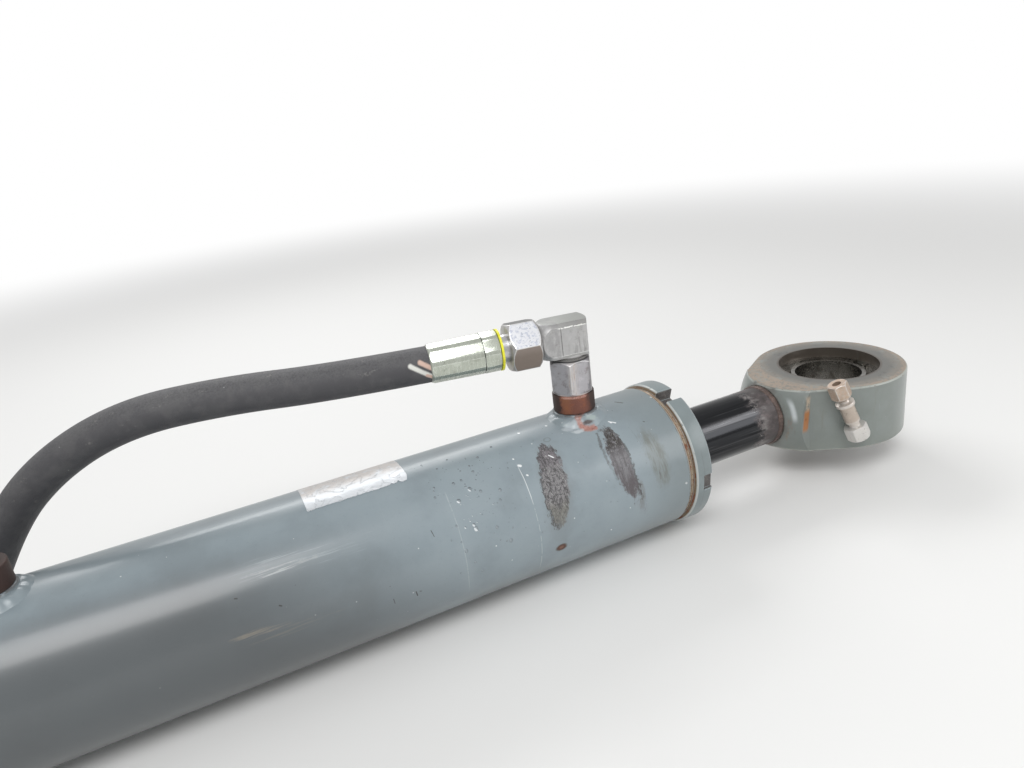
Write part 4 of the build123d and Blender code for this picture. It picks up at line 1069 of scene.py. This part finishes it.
def port_mound(name, x, seed):
    """Weld-on boss: a post with an uneven, painted weld fillet that follows the barrel."""
    rows = []
    turns = 160
    for index in range(turns):
        angle = 2 * math.pi * index / turns
        east, north = math.cos(angle), math.sin(angle)
        drift = noise.noise(Vector((1.6 * east, 1.6 * north, seed)))
        lump = noise.noise(Vector((4 * east, 4 * north, seed + 4)))
        ripple = 0.20 * math.cos(angle * 15 + 2.0 * drift)
        lobe = math.exp(-((angle - math.radians(325)) / 0.34) ** 2)
        lobe += 0.6 * math.exp(-((angle - math.radians(205)) / 0.4) ** 2)
        foot = MOUND_R + 1.2 * drift + 0.4 * ripple + 0.9 * lobe
        post = (
            (PORT_R, MOUND_LOW),
            (PORT_R, BOSS_TOP),
            (BOSS_R - 0.9, BOSS_TOP),
            (BOSS_R - 0.25, BOSS_TOP - 0.3),
            (BOSS_R, BOSS_TOP - 1.0),
        )
        points = [(x + out * east, out * north, height) for out, height in post]
        top = BOSS_TOP - 1.6 + 0.4 * lump
        for step in range(11):
            share = step / 10
            out = BOSS_R + 0.1 + (foot - BOSS_R) * share
            skin = math.sqrt(BARREL_R ** 2 - (out * north) ** 2)
            rise = (top - math.sqrt(BARREL_R ** 2 - (BOSS_R * north) ** 2)) * (1 - share) ** 1.45
            bulge = math.sin(math.pi * min(1.0, share * 1.06)) ** 0.8
            swell = (0.80 + ripple + 0.35 * lump + 0.75 * lobe) * bulge
            points.append((x + out * east, out * north, skin + max(0.0, rise) + swell - 0.15 * share))
        points.append((x + out * east, out * north, MOUND_LOW))
        rows.append(points)
    return sheet(name, rows, wrap_rows=True, sharp=50.0)


def ring_rows(base, axis, profile, steps=48, thread=None):
    """Rows of points around an axis: profile gives distance along it and radius.

    A thread is its start, end and whether it is cut into a hole; its ridges wind over the rows between.
    """
    side = Vector(axis).normalized()
    first = side.orthogonal().normalized()
    second = side.cross(first)
    rows = []
    for along, radius in profile:
        row = []
        for step in range(steps):
            share = step / steps
            out = radius
            if thread and thread[0] <= along <= thread[1]:
                saw = abs(((along / THREAD_PITCH + share) % 1.0) * 2 - 1)
                fade = min(1.0, (along - thread[0]) / THREAD_PITCH, (thread[1] - along) / THREAD_PITCH)
                cut = THREAD_DEPTH * min(1.0, 1.25 * saw) * fade
                out = radius - THREAD_DEPTH * fade + cut if thread[2] else radius - cut
            around = first * math.cos(2 * math.pi * share) + second * math.sin(2 * math.pi * share)
            row.append(Vector(base) + side * along + around * out)
        rows.append(row)
    return rows


def thread_profile(start, end, radius):
    """Profile points along a thread, eight to each turn."""
    count = round((end - start) / THREAD_PITCH * 8)
    return [(start + (end - start) * index / count, radius) for index in range(count + 1)]


def threaded_adapter(name, x):
    """Port adapter: rusty collar, threaded stud and the cone that seals in its mouth."""
    start, end = COLLAR_TOP + 0.5, STUD_TOP - 1.0
    profile = [
        (BOSS_TOP, PORT_R),
        (BOSS_TOP, ADAPTER_R - 0.6),
        (BOSS_TOP + 0.2, ADAPTER_R - 0.15),
        (BOSS_TOP + 0.6, ADAPTER_R),
        (COLLAR_TOP - 0.6, ADAPTER_R),
        (COLLAR_TOP - 0.2, ADAPTER_R - 0.15),
        (COLLAR_TOP, ADAPTER_R - 0.6),
        (COLLAR_TOP, STUD_R),
    ]
    profile += thread_profile(start, end, STUD_R)
    profile += [(STUD_TOP, STUD_R - 1.0), (STUD_TOP, CONE_R), (STUD_TOP - CONE_DEPTH, PORT_R)]
    rows = ring_rows((x, 0.0, 0.0), (0, 0, 1), profile, 96, (start, end, False))
    return sheet(name, rows, wrap_rows=True, sharp=50.0)


def threaded_bore(name, base, axis, start, end, radius):
    """Thread in a hole, as a thin lining of the wall."""
    profile = thread_profile(start, end, radius)
    profile += [(end, radius + 0.3), (start, radius + 0.3)]
    rows = ring_rows(base, axis, profile, 72, (start, end, True))
    return sheet(name, rows, wrap_rows=True, sharp=50.0)


def on_barrel(x, arc, radius):
    """Point over the barrel's skin at an arc from straight up towards the camera's side."""
    angle = arc / BARREL_R
    return Vector((x, -radius * math.sin(angle), radius * math.cos(angle)))


def hexagon_nut(name, node, base, axis, flats, length, bore, inner):
    """Hexagon nut with rounded, worn edges in place of the CAD one, whose corners it lines up with."""
    side = Vector(axis).normalized()
    offsets = [vertex.co / MM - Vector(base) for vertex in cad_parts[node].data.vertices]
    outward = [offset - side * offset.dot(side) for offset in offsets]
    first = max(outward, key=lambda offset: offset.length).normalized()
    second = side.cross(first)
    half = flats / 2
    drop = (flats / math.sqrt(3) - half) * math.tan(NUT_CHAMFER)
    lines = [0.0, 0.05] + [(drop + 1.2) * step / 12 for step in range(1, 13)]
    lines = lines + [length / 2] + [length - line for line in reversed(lines)]
    turns = []
    for sector in range(6):
        for step in range(18):
            turns.append((sector, math.radians(30) * math.sin(math.pi / 2 * (step / 9 - 1))))
    rows, wear = [], []

    def spot(sector, offset, along, out):
        turn = math.radians(60 * sector + 30) + offset
        return Vector(base) + side * along + (first * math.cos(turn) + second * math.sin(turn)) * out

    def ring(along, radius):
        rows.append([spot(sector, offset, along, min(radius, half)) for sector, offset in turns])
        wear.extend([0.0] * len(turns))

    ring(0.0, bore)
    ring(0.0, half - 0.9)
    for along in lines:
        row = []
        for sector, offset in turns:
            faces = sorted((
                half / math.cos(offset),
                half / math.cos(math.radians(60) - abs(offset)),
                half + along / math.tan(NUT_CHAMFER) - 0.1,
                half + (length - along) / math.tan(NUT_CHAMFER) - 0.1,
            ))
            spread = sum(math.exp((faces[0] - face) / NUT_ROUND) for face in faces)
            row.append(spot(sector, offset, along, faces[0] - NUT_ROUND * math.log(spread)))
            wear.append(max(0.0, min(1.0, 1.35 - (faces[1] - faces[0]) / NUT_WEAR)))
        rows.append(row)
    ring(length, half - 0.9)
    ring(length, inner)
    if inner < bore:
        ring(length - NUT_SHOULDER, inner)
        ring(length - NUT_SHOULDER, bore)
    obj = sheet(name, rows, wrap_rows=True, sharp=38.0)
    worn = obj.data.attributes.new("wear", "FLOAT", "POINT")
    worn.data.foreach_set("value", wear)
    return obj


def label_sheet(name):
    """Thin blank label stuck over the barrel's top, its lower and right edges frayed."""
    left, right, top, low = 272.0, 332.8, -27.0, 15.4
    columns, lines = 124, 40
    rows = []
    for column in range(columns + 1):
        share = column / columns
        fray = noise.noise(Vector((share * 40, 1.0, 0.0))) * 0.5
        fray += noise.noise(Vector((share * 14, 5.0, 0.0))) * 0.5
        x_here = left + (right - left) * share
        bites = 1.5 * math.exp(-((x_here - 327.0) / 1.0) ** 2)
        bites += 1.0 * math.exp(-((x_here - 322.5) / 0.8) ** 2)
        lower = low + fray - bites + 0.5 * math.exp(-((x_here - 330.0) / 1.6) ** 2)
        upper, under = [], []
        for line in range(lines + 1):
            down = line / lines
            arc = top + (lower - top) * down
            edge = noise.noise(Vector((arc * 0.25, 9.0, 0.0))) * 0.7 - max(0.0, (arc - 11.0) / 4.0) ** 2
            x = x_here + edge * share ** 8
            crease = 0.05 * noise.noise(Vector((x * 0.16, arc * 0.22, 2.0)))
            curl = 0.22 * max(0.0, down - 0.93) / 0.07 * (0.5 + fray)
            upper.append(on_barrel(x, arc, BARREL_R + 0.16 + crease + max(0.0, curl)))
            under.append(on_barrel(x, arc, BARREL_R - 0.05))
        rows.append(upper + list(reversed(under)))
    return sheet(name, rows, caps=True, sharp=60.0)


DROPS = (
    # X, arc, radius
    (363.6, 35.7, 1.25), (354.6, 40.5, 1.35), (369.3, 39.1, 0.95), (380.9, 42.3, 1.10), (355.8, 29.0, 1.0),
    (361.0, 28.5, 0.8), (358.6, 56.6, 1.05), (359.2, 59.2, 1.30), (353.1, 56.4, 0.7), (371.7, 62.4, 1.0),
    (378.5, 73.2, 1.30), (375.9, 72.6, 0.7), (350.1, 69.7, 1.15), (354.0, 78.4, 0.9), (358.0, 86.5, 0.9),
    (378.7, 47.9, 0.9), (342.1, 33.9, 0.8), (359.9, 9.0, 0.7), (377.5, 15.7, 1.0), (348.2, 53.8, 0.8),
    (370.2, 25.3, 0.9), (344.4, 82.1, 0.6), (389.4, 10.2, 0.8), (351.1, 14.5, 0.7), (343.9, 27.6, 0.7),
    (369.8, 20.3, 0.7), (362.2, 31.8, 0.5), (366.4, 37.4, 0.5), (381.4, 66.0, 0.6),
)


def water_drops(name):
    """Rain drops on the barrel's camera side: low domes, many of them tiny, closed under the skin."""
    chance = random.Random(7)
    drops = list(DROPS)
    for _ in range(130):
        x = chance.gauss(366.0, 26.0)
        arc = chance.gauss(40.0, 22.0)
        radius = 0.22 + 0.33 * chance.random() ** 2
        if 338.0 < x < 403.0 and 2.0 < arc < 95.0:
            drops.append((x, arc, radius))
    for _ in range(45):
        x = chance.uniform(400.0, 508.0)
        arc = chance.uniform(-8.0, 90.0)
        drops.append((x, arc, 0.2 + 0.25 * chance.random() ** 2))
    mesh = bpy.data.meshes.new(name)
    built = bmesh.new()
    steps, rings, rim = 14, 5, math.radians(72)
    for x, arc, radius in drops:
        place = on_barrel(x, arc, 1.0)
        out = Vector((0.0, place.y, place.z)).normalized()
        around = Vector((0.0, out.z, -out.y))
        stretch = 1.0 + 0.25 * chance.random()
        tall = 0.42 * radius
        peak = built.verts.new((on_barrel(x, arc, BARREL_R + tall - 0.03)) * MM)
        last = None
        for ring in range(1, rings + 1):
            turn = rim * ring / rings
            reach = radius * math.sin(turn) / math.sin(rim)
            height = BARREL_R - 0.03 + tall * (math.cos(turn) - math.cos(rim)) / (1 - math.cos(rim))
            circle = []
            for step in range(steps):
                bearing = 2 * math.pi * step / steps
                shift = Vector((math.cos(bearing), 0, 0)) + around * math.sin(bearing) * stretch
                centre = Vector((x, out.y * height, out.z * height))
                circle.append(built.verts.new((centre + shift * reach) * MM))
            for step in range(steps):
                following = (step + 1) % steps
                if last is None:
                    built.faces.new((peak, circle[step], circle[following]))
                else:
                    built.faces.new((last[step], circle[step], circle[following], last[following]))
            last = circle
        built.faces.new(last)
    bmesh.ops.recalc_face_normals(built, faces=built.faces)
    return shaded(name, built, mesh, 60.0)


# Camera at the photograph's place and angle
camera_data = bpy.data.cameras.new("camera")
camera_data.sensor_width = 36.0
camera_data.lens = 25.643
camera = link(bpy.data.objects.new("camera", camera_data))
right = Vector((0.89372136, -0.43151561, -0.12270453))
down = Vector((-0.25429623, -0.26194882, -0.93097596))
forward = Vector((0.36958836, 0.86323641, -0.34384205))
camera.matrix_world = Matrix((right, -down, -forward)).transposed().to_4x4()
camera.location = (0.241425, -0.402271, 0.242397)
bpy.context.scene.camera = camera

# Pale floor under the part that fades into the white surround
FLOOR_SIZE = 12.0
FADE_CENTRE = (400.0, 200.0)
FADE = (700.0, 2300.0)
floor_z = cad_box[0][2]
floor_mesh = bpy.data.meshes.new("floor")
corners = [(x * FLOOR_SIZE, y * FLOOR_SIZE, floor_z) for x, y in ((-1, -1), (1, -1), (1, 1), (-1, 1))]
floor_mesh.from_pydata(corners, [], [(0, 1, 2, 3)])
floor = link(bpy.data.objects.new("floor", floor_mesh))
floor_look = Finish("floor_pale", (0.80, 0.80, 0.79), 0.7)
floor_look.coat(floor_look.noise(400.0, 3.0) * 0.3, (0.75, 0.75, 0.745))
away = floor_look.long(floor_look.x - FADE_CENTRE[0], floor_look.y - FADE_CENTRE[1])
rays = floor_look.node("ShaderNodeLightPath")
glow = floor_look.node("ShaderNodeEmission")
fading = floor_look.node("ShaderNodeMixShader")
floor_look.feed(fading.inputs[0], away.step(*FADE) * rays.outputs["Is Camera Ray"])
floor_look.feed(fading.inputs[1], floor_look.shader.outputs[0])
floor_look.feed(fading.inputs[2], glow.outputs[0])
floor.data.materials.append(floor_look.done())
floor_look.feed(floor_look.output.inputs["Surface"], fading.outputs[0])

# White surround: full strength to the camera, less to reflections, least as light
SURROUND_LIGHT = 0.50
SURROUND_GLOSS = 0.35  # share of the way from the light's strength to full
world = bpy.data.worlds.new("studio")
world.use_nodes = True
nodes, links = world.node_tree.nodes, world.node_tree.links
nodes.clear()
surround = nodes.new("ShaderNodeBackground")
surround.inputs["Color"].default_value = (1, 1, 1, 1)
path = nodes.new("ShaderNodeLightPath")
gloss = nodes.new("ShaderNodeMath")
gloss.operation = "MULTIPLY"
gloss.inputs[1].default_value = SURROUND_GLOSS
links.new(path.outputs["Is Glossy Ray"], gloss.inputs[0])
seen = nodes.new("ShaderNodeMath")
seen.operation = "MAXIMUM"
links.new(path.outputs["Is Camera Ray"], seen.inputs[0])
links.new(gloss.outputs[0], seen.inputs[1])
level = nodes.new("ShaderNodeMapRange")
level.inputs["To Min"].default_value = SURROUND_LIGHT
level.inputs["To Max"].default_value = 1.0
links.new(seen.outputs[0], level.inputs["Value"])
links.new(level.outputs[0], surround.inputs["Strength"])
world_output = nodes.new("ShaderNodeOutputWorld")
links.new(surround.outputs[0], world_output.inputs["Surface"])
bpy.context.scene.world = world
bpy.context.scene.view_settings.view_transform = "Standard"

LAMPS = (
    # name, place, aimed at, width, length, power
    ("key", (-0.1, -0.9, 1.3), (0.35, 0.0, 0.0), 0.9, 0.7, 14.0),
    ("fill", (1.3, -0.8, 0.5), (0.45, 0.0, 0.0), 0.7, 0.7, 4.0),
    ("back", (0.4, 1.1, 1.0), (0.35, 0.0, 0.0), 1.2, 0.4, 8.0),
)
for name, place, target, width, length, power in LAMPS:
    lamp_data = bpy.data.lights.new(name, "AREA")
    lamp_data.shape = "RECTANGLE"
    lamp_data.size = width
    lamp_data.size_y = length
    lamp_data.energy = power
    lamp = link(bpy.data.objects.new(name, lamp_data))
    lamp.location = place
    lamp.rotation_euler = (Vector(target) - Vector(place)).to_track_quat("-Z", "Y").to_euler()

# Finishes
barrel_paint = barrel_material()
gland_paint = gland_material()
rod_eye_paint = rod_eye_material()
base_eye_paint = eye_material("eye_paint_base", 0.0, -1.0, 51.0).done(coat_weight=0.25, coat_roughness=0.2)
chrome = chrome_material()
zinc = bright_edges(zinc_material("zinc_weathered", ZINC, 3.0), 0.6).done()
stem_zinc = zinc_material("zinc_stem", (0.60, 0.60, 0.62), 23.0, 0.10, 0.15, 0.30, 0.85).done()
elbow_zinc = elbow_material()
port_zinc = port_nut_material()
nut_zinc = hose_nut_material("zinc_hose_nut", 13.0, True)
far_zinc = hose_nut_material("zinc_far_nut", 14.0, False)
lube_steel = lube_material()
rust = rust_material()
rubber = rubber_material()
seal = plain_material("seal_black", (0.02, 0.02, 0.02), 0.35, 0.0, 3.0, (0.05, 0.045, 0.04))
yellow = plain_material("ring_yellow", (0.82, 0.80, 0.04), 0.42, 0.0, 6.0, (0.60, 0.54, 0.03))
bearing = plain_material("bearing_greased", (0.34, 0.33, 0.31), 0.24, 1.0, 7.0, (0.06, 0.045, 0.03))
iron = plain_material("piston_iron", (0.22, 0.22, 0.22), 0.45, 0.9, 8.0, (0.08, 0.06, 0.05))
weld_grime = plain_material("rod_weld_grime", (0.075, 0.050, 0.042), 0.5, 0.0, 9.0, (0.17, 0.115, 0.095))
far_ferrule_start = FAR_END + FAR_WAY * FERRULE_LENGTH
near_ferrule = ferrule_material("ferrule_near", PORT_AXIS + HOSE_WAY * FERRULE_START, HOSE_WAY)
far_ferrule = ferrule_material("ferrule_far", far_ferrule_start, -FAR_WAY)

NODE_LOOKS = {
    "barrel_tube": barrel_paint, "base_cap": barrel_paint, "base_weld": barrel_paint,
    "base_port_boss": barrel_paint, "rod_port_boss": barrel_paint, "gland": gland_paint,
    "base_eye": base_eye_paint, "rod_eye": rod_eye_paint, "rod_weld": weld_grime, "rod": chrome,
    "base_grease_nipple": zinc, "base_port_adapter": rust, "rod_port_adapter": rust,
    "rod_port_nut": port_zinc, "rod_port_elbow": elbow_zinc, "hose_nut": nut_zinc, "hose_stem": stem_zinc,
    "hose_ferrule": near_ferrule, "hose_far_ferrule": far_ferrule, "hose_far_stem": stem_zinc,
    "hose_far_nut": far_zinc, "hose_colour_ring": yellow, "hose_far_ring": yellow, "hose": rubber,
    "wiper_seal": seal, "piston": iron, "lube_elbow": lube_steel, "lube_nut": lube_steel,
    "base_bearing_inner": bearing, "base_bearing_outer": bearing, "rod_bearing_inner": bearing,
    "rod_bearing_outer": bearing, "base_circlip_upper": bearing, "base_circlip_lower": bearing,
    "rod_circlip_upper": bearing, "rod_circlip_lower": bearing,
}
for node, look in NODE_LOOKS.items():
    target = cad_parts[node]
    if not target.data.materials:
        target.data.materials.append(look)
    for index in range(len(target.material_slots)):
        target.material_slots[index].material = look

# Pieces whose edges are rounded and rubbed
SOFTENED = (
    # node, edge width, least edge angle, body, slot
    ("rod_port_elbow", 0.40, 24.0, "barrel", "zinc"),
    ("hose_ferrule", 0.22, 11.0, "barrel", "ferrule_zinc"),
    ("hose_far_ferrule", 0.22, 11.0, "barrel", "ferrule_zinc"),
    ("rod_port_adapter", 0.35, 24.0, "barrel", "rusty_steel"),
    ("base_grease_nipple", 0.30, 24.0, "barrel", "zinc"),
    ("gland", 0.40, 24.0, "barrel", "barrel_paint"),
    ("lube_elbow", 0.40, 24.0, "rod", "lube_steel"),
)
for node, width, limit, body, slot in SOFTENED:
    softened(node, node + "_worn", width, body, slot, NODE_LOOKS[node], limit)

# Hexagon nuts with worn edges
NUTS = (
    # node, base, axis, flats, length, bore, inner end, body, slot
    ("rod_port_nut", (ROD_PORT_X, 0.0, COLLAR_TOP), UP, 26.0, 23.2, NUT_BORE_R, 7.7, "barrel", "zinc"),
    ("hose_nut", PORT_AXIS + HOSE_WAY * HOSE_NUT_START, HOSE_WAY,
     30.0, HOSE_NUT_LENGTH, NUT_BORE_R, 7.7, "barrel", "zinc"),
    ("hose_far_nut", FAR_END + FAR_WAY * FAR_NUT_END, -FAR_WAY,
     30.0, HOSE_NUT_LENGTH, NUT_BORE_R, 7.7, "barrel", "zinc"),
    ("lube_nut", LUBE_FOOT + LUBE_WAY * LUBE_NUT_START, LUBE_WAY, 13.0, 11.5, 3.2, 3.2, "rod", "lube_steel"),
)
for node, *sizes, body, slot in NUTS:
    nut = hexagon_nut(node + "_worn", node, *sizes)
    dress(nut, NODE_LOOKS[node], body, slot, node)

# Threads that can be seen: on the open port's stud and in the hose's far nut
open_stud = threaded_adapter("base_port_adapter_threaded", BASE_PORT_X)
dress(open_stud, rust, "barrel", "rusty_steel", "base_port_adapter")
bore_end = NUT_BORE_START + NUT_BORE_LENGTH
far_thread = threaded_bore("hose_far_nut_thread", FAR_END, FAR_WAY, NUT_BORE_START, bore_end, NUT_BORE_R)
dress(far_thread, far_zinc, "barrel", "zinc")

# Hose: one smooth line through the route's points
hose_curve = bpy.data.curves.new("hose_line", "CURVE")
hose_curve.dimensions = "3D"
spline = hose_curve.splines.new("NURBS")
spline.points.add(len(HOSE_ROUTE) - 1)
for point, place in zip(spline.points, HOSE_ROUTE):
    point.co = (*place, 1.0)
spline.order_u = 3
spline.use_endpoint_u = True
spline.resolution_u = 24
hose_curve.bevel_depth = HOSE_DIAMETER / 2
hose_curve.bevel_resolution = 8
hose_curve.use_fill_caps = True
hose = link(bpy.data.objects.new("hose_line", hose_curve))
dress(hose, rubber, "barrel", "hose_rubber", "hose")

# Weld beads and port bosses
base_bead = weld_ring("base_weld_bead", CAP_END_X, BARREL_R, 5.0, 2.0, 4.2, 1.0)
dress(base_bead, barrel_paint, "barrel", "barrel_paint", "base_weld")
rod_bead = weld_ring("rod_weld_bead", NECK_X - 2.0, ROD_R, 2.6, 1.7, 3.0, 5.0)
dress(rod_bead, weld_grime, "rod", "rusty_steel", "rod_weld")
for name, x, seed in (("rod_port", ROD_PORT_X, 2.0), ("base_port", BASE_PORT_X, 9.0)):
    dress(port_mound(name + "_mound", x, seed), barrel_paint, "barrel", "barrel_paint", name + "_boss")

# Label and rain drops on the barrel
dress(label_sheet("blank_label"), label_material(), "barrel", "barrel_paint")
dress(water_drops("rain_drops"), drop_material(), "barrel", "barrel_paint")
